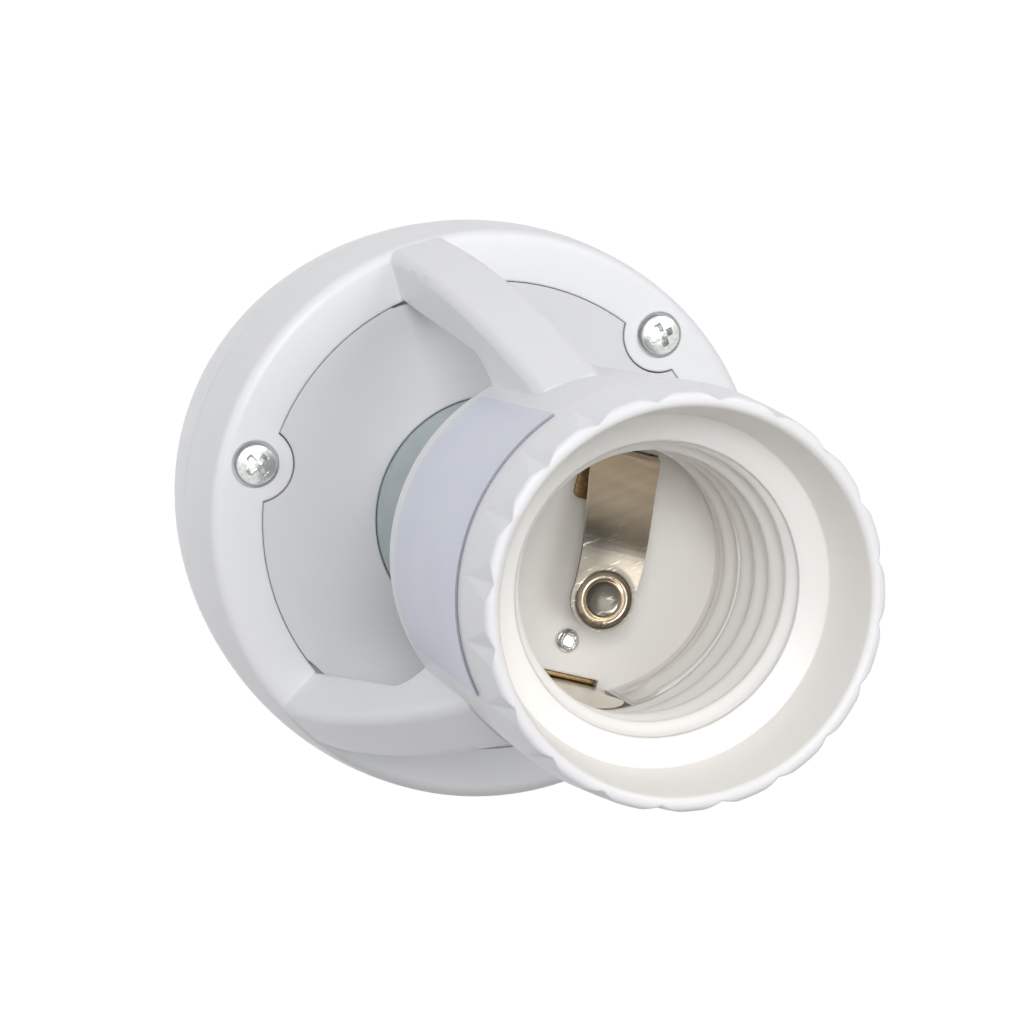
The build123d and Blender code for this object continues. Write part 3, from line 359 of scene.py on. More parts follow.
# %% Finishes: turned and rolled metal
def plated_turning(name, colours, roughness=(0.16, 0.36)):
    """Plated steel of a screw, rivet or shell: fine grain, and duller patches."""
    material, shader = new_finish(name, 0.25, metallic=1.0)
    grain = noise(material, 3.0, detail=4.0)
    colour = blend_colours(material, grain, colours, 0.3, 0.7)
    material.node_tree.links.new(colour, shader.inputs["Base Color"])
    dull = noise(material, 0.4, detail=5.0)
    material.node_tree.links.new(spread(material, dull, *roughness), shader.inputs["Roughness"])
    bump(material, shader, grain, 0.006, 0.5)
    return material


SCREW_PLATING = plated_turning("screw_plating", ((0.58, 0.60, 0.58), (0.76, 0.78, 0.76)))
SHELL_PLATING = plated_turning("shell_plating", ((0.66, 0.65, 0.63), (0.78, 0.77, 0.75)), (0.12, 0.28))
# Deep brown brass: partly its own colour, partly painted shade.
BRASS_WITH_PAINTED_SHADE = plated_turning("brown_brass", ((0.25, 0.155, 0.075), (0.46, 0.32, 0.16)), (0.3, 0.5))
print("finishes", SCREW_PLATING.name, SHELL_PLATING.name, BRASS_WITH_PAINTED_SHADE.name)

# %% [markdown]
# The label is a thin foil with a cool pale ground and a fine dark rule along its front edge. A
# painted picture could give the rule. The foil ends at a known height, though, so a step on the
# height puts it in its place, and it stays sharp from close by.

# %% Finish: label foil
LABEL_HIGH = 99.3
RULE_WIDTH = 0.10
RULE_EDGE = 0.04


def label_foil():
    """Cool pale foil with a satin gloss, slight crinkle, and a dark rule by its front edge."""
    material, shader = new_finish("label_foil", 0.3)
    nodes, links = material.node_tree.nodes, material.node_tree.links
    ground = blend_colours(
        material, noise(material, 0.06, detail=1.0), ((0.695, 0.730, 0.835), (0.745, 0.775, 0.870))
    )
    rule = nodes.new("ShaderNodeMix")
    rule.data_type = "RGBA"
    rule.inputs["B"].default_value = (0.33, 0.34, 0.41, 1.0)
    rule_low = LABEL_HIGH - RULE_WIDTH
    links.new(height_above(material, rule_low - RULE_EDGE, rule_low), rule.inputs["Factor"])
    links.new(ground, rule.inputs["A"])
    links.new(rule.outputs["Result"], shader.inputs["Base Color"])
    links.new(spread(material, noise(material, 0.5), 0.24, 0.38), shader.inputs["Roughness"])
    bump(material, shader, noise(material, 0.12, detail=2.0), 0.03, 0.4)
    return material


LABEL = label_foil()
print("finish", LABEL.name)

# %% [markdown]
# Inside the bowl sit the board and its parts. Nobody sees them, but they keep their real
# finishes, for whoever opens the model: lacquered laminate, resin, shrunk sleeves and wire
# insulation. One function makes them all, each with its own colours and gloss.

# %% Finishes: electronic parts and insulation
def part_finish(name, dark, light, roughness, grain_per_mm=1.2, depth_mm=0.01):
    """A small part's plastic or lacquer: two close colours, a gloss range and a fine grain."""
    material, shader = new_finish(name, sum(roughness) / 2)
    grain = noise(material, grain_per_mm, detail=4.0)
    colour = blend_colours(material, grain, (dark, light))
    material.node_tree.links.new(colour, shader.inputs["Base Color"])
    patches = noise(material, 0.3, detail=3.0)
    material.node_tree.links.new(spread(material, patches, *roughness), shader.inputs["Roughness"])
    bump(material, shader, grain, depth_mm, 0.5)
    return material


BOARD = part_finish("board_lacquer", (0.03, 0.13, 0.06), (0.05, 0.18, 0.08), (0.2, 0.35), 0.5)
BLACK_RESIN = part_finish("black_resin", (0.018, 0.018, 0.02), (0.035, 0.035, 0.037), (0.45, 0.65))
FILM_CASE = part_finish("film_case", (0.52, 0.38, 0.05), (0.60, 0.45, 0.08), (0.2, 0.34))
SLEEVE = part_finish("shrunk_sleeve", (0.015, 0.016, 0.03), (0.03, 0.032, 0.05), (0.25, 0.4))
LACQUER = part_finish("resistor_lacquer", (0.46, 0.34, 0.19), (0.56, 0.43, 0.26), (0.4, 0.55))
AMBER = part_finish("amber_resin", (0.50, 0.20, 0.06), (0.60, 0.27, 0.09), (0.12, 0.22))
FILTER = part_finish("dark_filter", (0.012, 0.008, 0.016), (0.02, 0.014, 0.026), (0.08, 0.16))
BROWN_WIRE = part_finish("brown_insulation", (0.10, 0.045, 0.02), (0.14, 0.065, 0.03), (0.3, 0.42))
BLUE_WIRE = part_finish("blue_insulation", (0.015, 0.06, 0.25), (0.03, 0.09, 0.32), (0.3, 0.42))
INSULATOR = part_finish("black_insulator", (0.012, 0.012, 0.014), (0.025, 0.024, 0.026), (0.1, 0.22))
print("small finishes ready")

# %% [markdown]
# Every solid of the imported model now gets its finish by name. Those that a finer piece stands
# for further down get one too, as they stay in the model, only hidden.

# %% Finish of every node of the model
node_finish = {
    "socket_cage": WHITE,
    "rear_housing": WHITE,
    "sensor_plate": PLATE_WHITE_PAINTED_SHADE,
    "socket_back_cover": WHITE,
    "pir_lens": LENS,
    "housing_screws": SCREW_PLATING,
    "board_screws": SCREW_PLATING,
    "contact_rivets": SCREW_PLATING,
    "pir_sensor": SHELL_PLATING,
    "screw_cap": SHELL_PLATING,
    "centre_contact": CENTRE_STRIP,
    "side_contact": SIDE_STRIP,
    "centre_contact_base": BRASS_WITH_PAINTED_SHADE,
    "side_contact_base": BRASS_WITH_PAINTED_SHADE,
    "cap_tip_contact": BRASS_WITH_PAINTED_SHADE,
    "rating_label": LABEL,
    "circuit_board": BOARD,
    "sensor_window": FILTER,
    "light_sensor": AMBER,
    "control_chip": BLACK_RESIN,
    "triac": BLACK_RESIN,
    "rectifier_diodes": BLACK_RESIN,
    "film_capacitor": FILM_CASE,
    "electrolytic_capacitors": SLEEVE,
    "resistors": LACQUER,
    "live_lead": BROWN_WIRE,
    "cap_tip_lead": BROWN_WIRE,
    "neutral_lead": BLUE_WIRE,
    "cap_shell_lead": BLUE_WIRE,
    "cap_insulator": INSULATOR,
}
for node_name, finish in node_finish.items():
    set_finish(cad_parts[node_name], finish)
print(len(node_finish), "nodes finished, left over:", sorted(set(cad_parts) - set(node_finish)))

# %% [markdown]
# Every new piece below is a skin over closed outlines: one outline per station, either around
# a ring or along a strip. The outlines are worked out as whole arrays, and one helper joins
# neighbours with quads and closes the ends.

# %% Helper: skin over closed outlines
def skin(name, outlines, ring, body, finish, crease_degrees=40.0):
    """A closed mesh over outlines of shape (stations, points, 3). A ring joins its last station
    to its first, and any other skin gets a cap at each end."""
    stations, around = outlines.shape[:2]
    corner = np.arange(stations * around).reshape(stations, around)
    corner = np.hstack([corner, corner[:, :1]])
    if ring:
        corner = np.vstack([corner, corner[:1]])
    quads = np.stack([corner[:-1, :-1], corner[:-1, 1:], corner[1:, 1:], corner[1:, :-1]], axis=-1)
    faces = quads.reshape(-1, 4).tolist()
    if not ring:
        faces.append(np.arange(around)[::-1].tolist())
        faces.append((np.arange(around) + (stations - 1) * around).tolist())
    mesh = bpy.data.meshes.new(name)
    mesh.from_pydata((outlines.reshape(-1, 3) * MM).tolist(), [], faces)
    mesh.validate()
    mesh.polygons.foreach_set("use_smooth", np.ones(len(mesh.polygons), dtype=bool))
    mesh.set_sharp_from_angle(angle=radians(crease_degrees))
    piece = bpy.data.objects.new(name, mesh)
    bpy.context.scene.collection.objects.link(piece)
    set_finish(piece, finish)
    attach(piece, body)
    print(name, len(mesh.vertices), "points,", len(mesh.polygons), "faces")
    return piece


def turned(radius, height, angles):
    """Outlines of a turned form: each point lies at its radius times the cosine and sine of the
    station's angle, and at its own height. Both are (stations, points) or (points,) arrays."""
    turn = angles[:, None]
    radius, height = np.broadcast_arrays(radius, height)
    full = np.broadcast_to(radius, (len(angles), radius.shape[-1]))
    tall = np.broadcast_to(height, (len(angles), radius.shape[-1]))
    return np.stack([full * np.cos(turn), full * np.sin(turn), tall], axis=-1)


print("skin helper ready")

# %% [markdown]
# The socket's thread has the round form that lamps take, 3.629 mm to a turn. A Screw modifier
# could sweep one ridge around the bore, but it gives no soft ends. In section the thread is close
# to a sine wave, so the wall's radius is the root radius less half the depth times one minus the
# cosine of the phase, and the phase grows with height and falls with the angle, which makes it
# right-handed. The wave fades out near the entry and near the floor, as a cut thread runs out.
# Beside the side contact the wall is open, so the lower turns stop on either side of it, and
# the turn just above it is shallower, which leaves the contact's end in view.

# %% Thread inside the socket
PITCH = 3.629
VALLEY_HEIGHT = 80.93
THREAD_DEPTH = 1.12
ENTRY_HEIGHT = 98.0
STEP_HEIGHT = 86.0
THREAD_LOW = 78.0
FLOOR = 77.0
UPPER_WALL = 13.35
LOWER_WALL = 13.1
THREAD_SKIN = 0.05


def thread_wave(height, turn):
    """0 in the thread's valleys and 1 on its crests: half of one minus the cosine of the phase,
    which gains a turn with each pitch of height and loses one with each turn of the angle."""
    phase = (height - VALLEY_HEIGHT) / PITCH - turn / (2.0 * pi)
    return 0.5 - 0.5 * np.cos(2.0 * pi * phase)


def ease(value, start, end):
    """0 before the start, 1 after the end, and between them three times the square of the share
    of the way less twice its cube."""
    share = np.clip((value - start) / (end - start), 0.0, 1.0)
    return share * share * (3.0 - 2.0 * share)


print("turns in the bore", round((ENTRY_HEIGHT - FLOOR) / PITCH, 2))

# %% [markdown]
# The thread's surface is that wave under three fades, one at each end and one beside the side
# contact. It is closed by a second wall close to the bore, so that it is a thin skin on the
# moulding. The part below the step in the bore leaves a gap for the contact and runs out there.

# %% Skin of the thread
FADE_IN = (78.3, 80.6)
FADE_OUT = (96.2, 97.9)
CUT_BACK = 0.72
CUT_BACK_SPREAD = radians(32.0)
CUT_BACK_END = (89.4, 91.6)
GAP_HALF = radians(24.5)
RUN_OUT = radians(14.0)
FULL_TURN = 2.0 * pi


def socket_thread(name, low, high, wall, start, sweep, rows):
    """Closed skin over an arc of the bore. Its inner face is the wall's radius less the depth
    times the wave times the fades; its outer face is a plain cylinder near the wall."""
    ring = sweep >= FULL_TURN
    along = np.linspace(0.0, sweep, 288, endpoint=not ring)
    angles = start + along
    height = np.linspace(low, high, rows)[None, :]
    fade = ease(height, *FADE_IN) * (1.0 - ease(height, *FADE_OUT))
    from_contact = (angles - SIDE_ANGLE + pi) % FULL_TURN - pi
    cut_back = CUT_BACK * np.exp(-((from_contact / CUT_BACK_SPREAD) ** 2))[:, None]
    fade = fade * (1.0 - cut_back * (1.0 - ease(height, *CUT_BACK_END)))
    if not ring:
        fade = fade * ease(np.minimum(along, sweep - along), 0.0, RUN_OUT)[:, None]
    inner = wall - THREAD_SKIN - THREAD_DEPTH * fade * thread_wave(height, angles[:, None])
    outer = np.full((len(angles), 2), wall - THREAD_SKIN / 5.0)
    radius = np.hstack([inner, outer])
    heights = np.concatenate([height[0], [high, low]])
    outlines = turned(radius, heights[None, :], angles)
    return skin(name, outlines, ring, "holder", WHITE, 60.0)


lower_start, lower_sweep = SIDE_ANGLE + GAP_HALF, FULL_TURN - 2.0 * GAP_HALF
for name, low, high, wall, start, sweep, rows in (
    ("socket_thread_upper", STEP_HEIGHT, ENTRY_HEIGHT, UPPER_WALL, 0.0, FULL_TURN, 121),
    ("socket_thread_lower", THREAD_LOW, STEP_HEIGHT, LOWER_WALL, lower_start, lower_sweep, 81),
):
    socket_thread(name, low, high, wall, start, sweep, rows)

# %% [markdown]
# The screw base is a shell of thin sheet, rolled into the same thread. Its section is a wave
# outside and the same wave, one sheet thickness in, inside. At the top it ends in a plain
# band under the neck, and at the bottom it curls in over the insulator. A Solidify modifier could
# add the thickness, but it would do so square to the wave and narrow its valleys.

# %% Rolled screw base
SHELL_CREST = 13.1
SHELL_DEPTH = 1.05
SHEET = 0.35
SHELL_LENGTH = 19.5
HEM_DROP = 2.0
HEM_RADIUS = 9.2
PLAIN_BAND = (1.2, 2.6)
THREAD_FOOT = (17.2, 19.0)


def rolled_shell():
    """Outer face: the crest's radius less the depth times the wave, from the neck down. Then a
    quarter ellipse for the hem, the same one a sheet smaller, and the face again, a sheet in."""
    angles = np.linspace(0.0, FULL_TURN, 240, endpoint=False)
    height = np.linspace(0.0, -SHELL_LENGTH, 131)[None, :]
    fade = ease(-height, *PLAIN_BAND) * (1.0 - ease(-height, *THREAD_FOOT))
    dip = SHELL_DEPTH * fade * thread_wave(height, angles[:, None])
    outer = SHELL_CREST - dip
    curl = np.linspace(0.0, pi / 2.0, 14)[1:]
    curl_radius = HEM_RADIUS + (SHELL_CREST - HEM_RADIUS) * np.cos(curl)
    curl_height = -SHELL_LENGTH - HEM_DROP * np.sin(curl)
    back_radius = HEM_RADIUS + (SHELL_CREST - SHEET - HEM_RADIUS) * np.cos(curl[::-1])
    back_height = -SHELL_LENGTH - (HEM_DROP - SHEET) * np.sin(curl[::-1])
    stations = len(angles)
    radius = np.hstack([
        outer,
        np.tile(curl_radius, (stations, 1)),
        np.tile(back_radius, (stations, 1)),
        (outer - SHEET)[:, ::-1],
    ])
    heights = np.concatenate([height[0], curl_height, back_height, height[0][::-1]])
    return turned(radius, heights[None, :], angles)


screw_shell = skin("screw_shell", rolled_shell(), True, "holder", SHELL_PLATING, 60.0)
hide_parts("screw_cap")

# %% [markdown]
# Three pan-head screws hold the ring. The head is a low dome with a rounded edge, and the
# driver's cross is pressed into it. Each head is one skin from the middle of the dome out to
# its edge, down its side and in under it, and the cross is taken out of the dome's height. A
# Boolean cut would be quicker, but a change of height keeps the pressed edges soft.

# %% Cross-recess screws in the ring
SCREW_CIRCLE = 26.7
SCREW_SEAT = 43.2
PAN_RADIUS = 2.2
PAN_HEIGHT = 1.8
PAN_SIDE = 0.55
DOME_SHARE = 0.9
DOME_DROP = 0.42
SHANK_RADIUS = 1.4
SHANK_LENGTH = 22.0
SHANK_POINT = 1.5
CROSS_WIDTH = 0.62
CROSS_REACH = 1.35
CROSS_DEPTH = 1.0
CROSS_WALL_SLOPE = 0.12
CROSS_END_SLOPE = 0.45


def cross_recess(x, y):
    """Depth of the driver's cross: the deeper of two crossing grooves. Each is the product of a
    steep ramp at its walls and a slow one at its ends."""
    def groove(along, across):
        wall = np.clip((CROSS_WIDTH / 2.0 - np.abs(across)) / CROSS_WALL_SLOPE + 0.5, 0.0, 1.0)
        end = np.clip((CROSS_REACH - np.abs(along)) / CROSS_END_SLOPE, 0.0, 1.0)
        return wall * end
    return CROSS_DEPTH * np.maximum(groove(x, y), groove(y, x))


def screw_outlines(angle, turn):
    """Outlines of one screw around its own axis, moved to its place on the ring: a dome that
    falls with the square of the radius, less the cross, then a quarter ellipse and the shank."""
    around = np.linspace(0.0, FULL_TURN, 120, endpoint=False)
    top = np.linspace(0.02, DOME_SHARE, 44) * PAN_RADIUS
    dome = SCREW_SEAT + PAN_HEIGHT - DOME_DROP * (top / PAN_RADIUS) ** 2
    x, y = top * np.cos(around[:, None] - turn), top * np.sin(around[:, None] - turn)
    dome = dome[None, :] - cross_recess(x, y)
    bend = np.linspace(0.0, pi / 2.0, 9)[1:]
    edge_radius = PAN_RADIUS * (DOME_SHARE + (1.0 - DOME_SHARE) * np.sin(bend))
    edge_drop = PAN_HEIGHT - DOME_DROP * DOME_SHARE**2 - PAN_SIDE
    edge_height = SCREW_SEAT + PAN_SIDE + edge_drop * np.cos(bend)
    under_radius = np.array([PAN_RADIUS, SHANK_RADIUS, SHANK_RADIUS, 0.02])
    under_height = SCREW_SEAT + np.array([0.0, 0.0, SHANK_POINT - SHANK_LENGTH, -SHANK_LENGTH])
    stations = len(around)
    radius = np.tile(np.concatenate([top, edge_radius, under_radius]), (stations, 1))
    low = np.tile(np.concatenate([edge_height, under_height]), (stations, 1))
    outlines = turned(radius, np.hstack([dome, low]), around)
    outlines[..., 0] += SCREW_CIRCLE * cos(angle)
    outlines[..., 1] += SCREW_CIRCLE * sin(angle)
    return outlines


for name, degrees, turned_by in (("front", 150.0, 0.5), ("back", 30.0, 0.15), ("far", 270.0, 0.9)):
    screw = skin(
        "screw_" + name,
        screw_outlines(radians(degrees), turned_by),
        True,
        "holder",
        SCREW_PLATING,
        28.0,
    )
    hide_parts("housing_screws")

# %% [markdown]
# Both contacts are strips of spring metal, bent along a line. A press brake leaves straight
# runs joined by arcs, so the line is given by its corners and the radius of each bend, and one
# helper works out even steps along it, with the direction at each step.

# %% Helper: path with rounded corners
def rounded_path(corners, radii, step=0.12):
    """Points along straight runs joined by arcs, in a plane, with the direction at each point. An
    arc starts its radius times the tangent of half the bend before the corner."""
    corners = np.array(corners, dtype=float)
    pieces = [corners[0][None, :]]
    for before, corner, after, radius in zip(corners[:-2], corners[1:-1], corners[2:], radii):
        arrive = (corner - before) / np.linalg.norm(corner - before)
        leave = (after - corner) / np.linalg.norm(after - corner)
        bend = np.arctan2(arrive[0] * leave[1] - arrive[1] * leave[0], arrive @ leave)
        back = radius * np.tan(abs(bend) / 2.0)
        side = np.sign(bend) * np.array([-arrive[1], arrive[0]])
        centre = corner - arrive * back + side * radius
        turn = np.linspace(0.0, bend, 9)[:, None]
        spoke = corner - arrive * back - centre
        across = np.array([-spoke[1], spoke[0]])
        pieces.append(centre + spoke * np.cos(turn) + across * np.sin(turn))
    pieces.append(corners[-1][None, :])
    line = np.vstack(pieces)
    length = np.concatenate([[0.0], np.cumsum(np.linalg.norm(np.diff(line, axis=0), axis=1))])
    even = np.linspace(0.0, length[-1], int(length[-1] / step) + 1)
    points = np.stack([np.interp(even, length, line[:, 0]), np.interp(even, length, line[:, 1])], -1)
    direction = np.gradient(points, axis=0)
    return points, direction / np.linalg.norm(direction, axis=1, keepdims=True)


def to_part(local, angle, shift):
    """Turns (radial, sideways, height) points about the axis by the angle, after the shift."""
    turn = np.array([[cos(angle), sin(angle)], [-sin(angle), cos(angle)]])
    placed = local.copy()
    placed[..., :2] = (local[..., :2] - np.array([0.0, shift])) @ turn
    return placed


print("path helpers ready")

# %% [markdown]
# The centre contact comes up through the floor, leans over the middle and ends in a round
# head. A die pressed a ring and a shallow dish into the head, to meet the lamp's tip. The
# strip's half width narrows evenly and then follows the head's circle, and the ring and dish
# are a change of height that depends only on the distance from the head's centre.

# %% Shape of the centre contact
LEAF = 0.4
LEAF_ROOT = 10.4
ROOT_SWELL = 0.4
LEAF_SHIFT = 0.7
LEAF_HALF_WIDTH = 3.5
NECK_HALF_WIDTH = 3.0
HEAD_RADIUS = 3.15
HEAD_REACH = 3.1
HEAD_LEVEL = 82.0
TAIL_LEVEL = 73.9
RING_HEIGHT, RING_RADIUS, RING_SPREAD = 0.52, 2.2, 0.31
DISH_DEPTH, DISH_RADIUS = 0.30, 1.85


def head_relief(distance):
    """Height of the pressed ring, a bell curve of the distance from the head's centre, less the
    dish in it, which is a parabola."""
    ring = RING_HEIGHT * np.exp(-(((distance - RING_RADIUS) / RING_SPREAD) ** 2))
    dish = -DISH_DEPTH * (1.0 - (np.minimum(distance, DISH_RADIUS) / DISH_RADIUS) ** 2)
    return ring + dish


def centre_leaf():
    """Closed outlines across the strip, from its tail to the tip of its head: the line, plus or
    minus half the sheet along its normal, plus the head's relief in height."""
    corners = [
        (LEAF_ROOT, TAIL_LEVEL),
        (LEAF_ROOT, FLOOR - 0.5),
        (LEAF_ROOT + ROOT_SWELL, FLOOR + 0.4),
        (LEAF_ROOT + ROOT_SWELL, FLOOR + 1.2),
        (1.5, HEAD_LEVEL),
        (-HEAD_REACH - HEAD_RADIUS + 0.01, HEAD_LEVEL),
    ]
    line, along = rounded_path(corners, (0.5, 0.5, 0.6, 11.0))
    normal = np.stack([along[:, 1], -along[:, 0]], axis=-1)
    from_head = line[:, 0] + HEAD_REACH
    share = np.clip(from_head / (HEAD_REACH + LEAF_ROOT), 0.0, 1.0)
    strip = NECK_HALF_WIDTH + (LEAF_HALF_WIDTH - NECK_HALF_WIDTH) * share
    circle = np.sqrt(np.clip(HEAD_RADIUS**2 - from_head**2, 1e-6, None))
    half = np.where(from_head < 0.0, circle, np.maximum(strip, circle))
    across = np.linspace(-1.0, 1.0, 81)
    wide = half[:, None] * across[None, :]
    on_head = ease(line[:, 1], HEAD_LEVEL - 0.5, HEAD_LEVEL - 0.05)[:, None]
    relief = head_relief(np.hypot(from_head[:, None], wide)) * on_head
    faces = []
    for side, order in ((1.0, slice(None)), (-1.0, slice(None, None, -1))):
        radial = np.broadcast_to(line[:, :1] + side * normal[:, :1] * LEAF / 2.0, wide.shape)
        height = line[:, 1, None] + side * normal[:, 1, None] * LEAF / 2.0 + relief
        faces.append(np.stack([radial, wide, height], axis=-1)[:, order])
    return to_part(np.concatenate(faces, axis=1), CENTRE_ANGLE, LEAF_SHIFT)


centre_outlines = centre_leaf()
print("outlines across the strip", centre_outlines.shape)

# %% [markdown]
# Where lamps have pressed and rubbed, the plating is dull. On top of that wear, the strip is
# painted darker where shade and dark reflections fall: more on one side, over the head's edge and
# in its dish, while its ring is left bright. The mesh says so itself, with a value at each of its
# points that the strip's finish reads. A value on the mesh was chosen over a pattern in space,
# because it stays in place when the leaf bends.

# %% Wear and painted shade of the centre contact
# Values for the dull wear and the painted shade on the centre contact: their span along the strip, the
# darker side, and the marks on the head.
WEAR_AND_SHADE_SPAN = (2.0, 7.0)
WEAR_AND_SHADE_MIDDLE, SHADE_LEAN, SHADE_LEAN_REACH = 0.86, 0.09, 1.5
RING_MARK, RING_MARK_HALF = 2.15, (0.25, 0.55)
DISH_MARK = (1.5, 1.8)
EDGE_MARK_IN, EDGE_MARK_OUT = (2.55, 2.75), (3.15, 3.5)
RING_WEAR_AND_SHADE = 0.1
EDGE_PAINTED_SHADE = 0.95


def centre_wear_and_painted_shade(outlines):
    """How dark the strip is, from dull wear and painted shade: it eases from 0 near the root to
    most of 1 at the head, more on one side as painted shade, and then the head's outer edge, its
    ring and its dish each take their own value."""
    x, y = outlines[..., 0], outlines[..., 1]
    sideways = x * sin(CENTRE_ANGLE) - y * cos(CENTRE_ANGLE) - LEAF_SHIFT
    radial = x * cos(CENTRE_ANGLE) + y * sin(CENTRE_ANGLE)
    one_side = WEAR_AND_SHADE_MIDDLE + SHADE_LEAN * np.clip(-sideways, -SHADE_LEAN_REACH, SHADE_LEAN_REACH)
    worn_and_shaded = (1.0 - ease(radial, *WEAR_AND_SHADE_SPAN)) * one_side
    from_head = np.hypot(radial + HEAD_REACH, sideways)
    on_ring = 1.0 - ease(np.abs(from_head - RING_MARK), *RING_MARK_HALF)
    in_dish = 1.0 - ease(from_head, *DISH_MARK)
    edge = ease(from_head, *EDGE_MARK_IN) * (1.0 - ease(from_head, *EDGE_MARK_OUT))
    worn_and_shaded = worn_and_shaded * (1.0 - edge) + EDGE_PAINTED_SHADE * edge
    worn_and_shaded = worn_and_shaded * (1.0 - on_ring) + RING_WEAR_AND_SHADE * on_ring
    return worn_and_shaded * (1.0 - in_dish) + in_dish


centre_piece = skin(
    "centre_leaf_pressed", centre_outlines, False, "centre_leaf", CENTRE_STRIP, 50.0
)
# The attribute carries the dull wear together with painted shade and dark reflections.
wear_and_painted_shade = centre_piece.data.attributes.new("wear_and_painted_shade", "FLOAT", "POINT")
wear_and_painted_shade.data.foreach_set("value", centre_wear_and_painted_shade(centre_outlines).ravel())
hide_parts("centre_contact")

# %% [markdown]
# The side contact is the same strip, cut short. It stands up through the floor, leans out to
# the thread and widens to a rounded end, which is dished so that it follows the thread's wall
# and the cap of a lamp slides over it. A flat sheet could be bent by modifiers, but here the
# same kind of outlines as before is simpler, and the size of each bend can be read off.

# %% Side contact
SIDE_ROOT = 12.1
SIDE_LEAN = 0.8
SIDE_TOP = 85.78
SIDE_HALF_WIDTH = 4.0
END_HALF_WIDTH = 4.9
END_LOW = 79.6
END_CORNER = 2.9
END_CREST = 0.25
END_DISH = 0.8
END_RISE = (78.5, 85.0)


def side_leaf():
    """Closed outlines across the strip, from its tail to its rounded end: the line, plus or minus
    half the sheet along its normal, plus a parabola across the end. Its corners are circles."""
    corners = [(SIDE_ROOT, TAIL_LEVEL), (SIDE_ROOT, FLOOR + 1.0), (SIDE_ROOT + SIDE_LEAN, SIDE_TOP)]
    line, along = rounded_path(corners, (3.0,), step=0.06)
    normal = np.stack([along[:, 1], -along[:, 0]], axis=-1)
    height = line[:, 1]
    into_corner = np.maximum(END_LOW + END_CORNER - height, height - SIDE_TOP + END_CORNER)
    into_corner = np.clip(into_corner, 0.0, END_CORNER - 0.002)
    end = END_HALF_WIDTH - END_CORNER + np.sqrt(END_CORNER**2 - into_corner**2)
    half = np.where(height < END_LOW + END_CORNER, np.maximum(end, SIDE_HALF_WIDTH), end)
    across = np.linspace(-1.0, 1.0, 61)
    wide = half[:, None] * across[None, :]
    rise = ease(height, *END_RISE)[:, None]
    dish = rise * (END_CREST - END_DISH * (wide / END_HALF_WIDTH) ** 2)
    faces = []
    for side, order in ((1.0, slice(None)), (-1.0, slice(None, None, -1))):
        offset = side * LEAF / 2.0 + dish
        radial = line[:, 0, None] + normal[:, 0, None] * offset
        level = line[:, 1, None] + normal[:, 1, None] * offset
        faces.append(np.stack([radial, wide, level], axis=-1)[:, order])
    return to_part(np.concatenate(faces, axis=1), SIDE_ANGLE, 0.0)


side_piece = skin("side_leaf_spoon", side_leaf(), False, "side_leaf", SIDE_STRIP, 50.0)
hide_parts("side_contact")

# %% [markdown]
# The side contact's base is folded up into the slot, and its brown edge shows beside the leaf.
# The fold is a strip across the slot: an upright section that carries a wider, rounded top edge.
# A box with a Bevel modifier would come close, but the section has to be slim below its edge, so
# that the leaf has room there when it leans out.

# %% Fold of the side contact's base
FOLD_INNER = 11.34
FOLD_STEM = 0.3
FOLD_EDGE = 0.48
FOLD_HALF_WIDTH = 4.1
FOLD_LOW = 74.9
FOLD_TOP = 76.95
FOLD_CORNER = 0.5
FOLD_ROUNDING = 0.12
EDGE_UNDERSIDE = (0.6, 0.42)


def base_fold():
    """Outlines across the fold: stem, underside of the edge and half an ellipse over it. The top
    falls by a quarter circle at both ends."""
    across = np.linspace(-1.0, 1.0, 49) * FOLD_HALF_WIDTH
    corner = np.clip((np.abs(across) - FOLD_HALF_WIDTH) / FOLD_CORNER + 1.0, 0.0, 0.999)
    top = FOLD_TOP - FOLD_CORNER * (1.0 - np.sqrt(1.0 - corner**2))
    turn = np.linspace(0.0, pi, 13)
    round_radial = FOLD_INNER + FOLD_EDGE * (0.5 + 0.5 * np.cos(turn))
    round_height = FOLD_ROUNDING * np.sin(turn)
    stem = FOLD_INNER + FOLD_STEM
    radial = np.concatenate([[FOLD_INNER, stem, stem, FOLD_INNER + FOLD_EDGE], round_radial])
    height = np.hstack([
        np.full((len(across), 2), FOLD_LOW),
        top[:, None] - np.array([EDGE_UNDERSIDE]),
        top[:, None] - FOLD_ROUNDING + round_height[None, :],
    ])
    radial = np.broadcast_to(radial, height.shape)
    wide = np.broadcast_to(across[:, None], height.shape)
    return to_part(np.stack([radial, wide, height], axis=-1)[:, ::-1], SIDE_ANGLE, 0.0)


# The fold's dark brown edge in the slot is partly brass and partly painted shade.
skin("side_base_fold", base_fold(), False, "holder", BRASS_WITH_PAINTED_SHADE, 35.0)

# %% [markdown]
# A rivet holds each contact to its base. The press closed it with a square punch, which left a
# flat top inside a standing rim. The section from the middle outwards is a flat, a rim that is
# a bell curve of the radius, and a rounded edge. A section that is only turned would make a round
# mark, so the rim's own radius swings four times in a turn, which makes it squarish.

# %% Rivets
RIVET_RADIUS = 1.15
RIVET_SHANK = 0.6
RIVET_END = 74.5
RIVET_EDGE = 0.15
RIVET_SIDE = 0.3
RIVET_ROUNDING = 0.27
CROWN_HEIGHT = 0.56
RIM_HEIGHT, RIM_RADIUS, RIM_SWING, RIM_SPREAD = 0.24, 0.79, 0.05, 0.13
FOOT_THICKNESS = 0.5


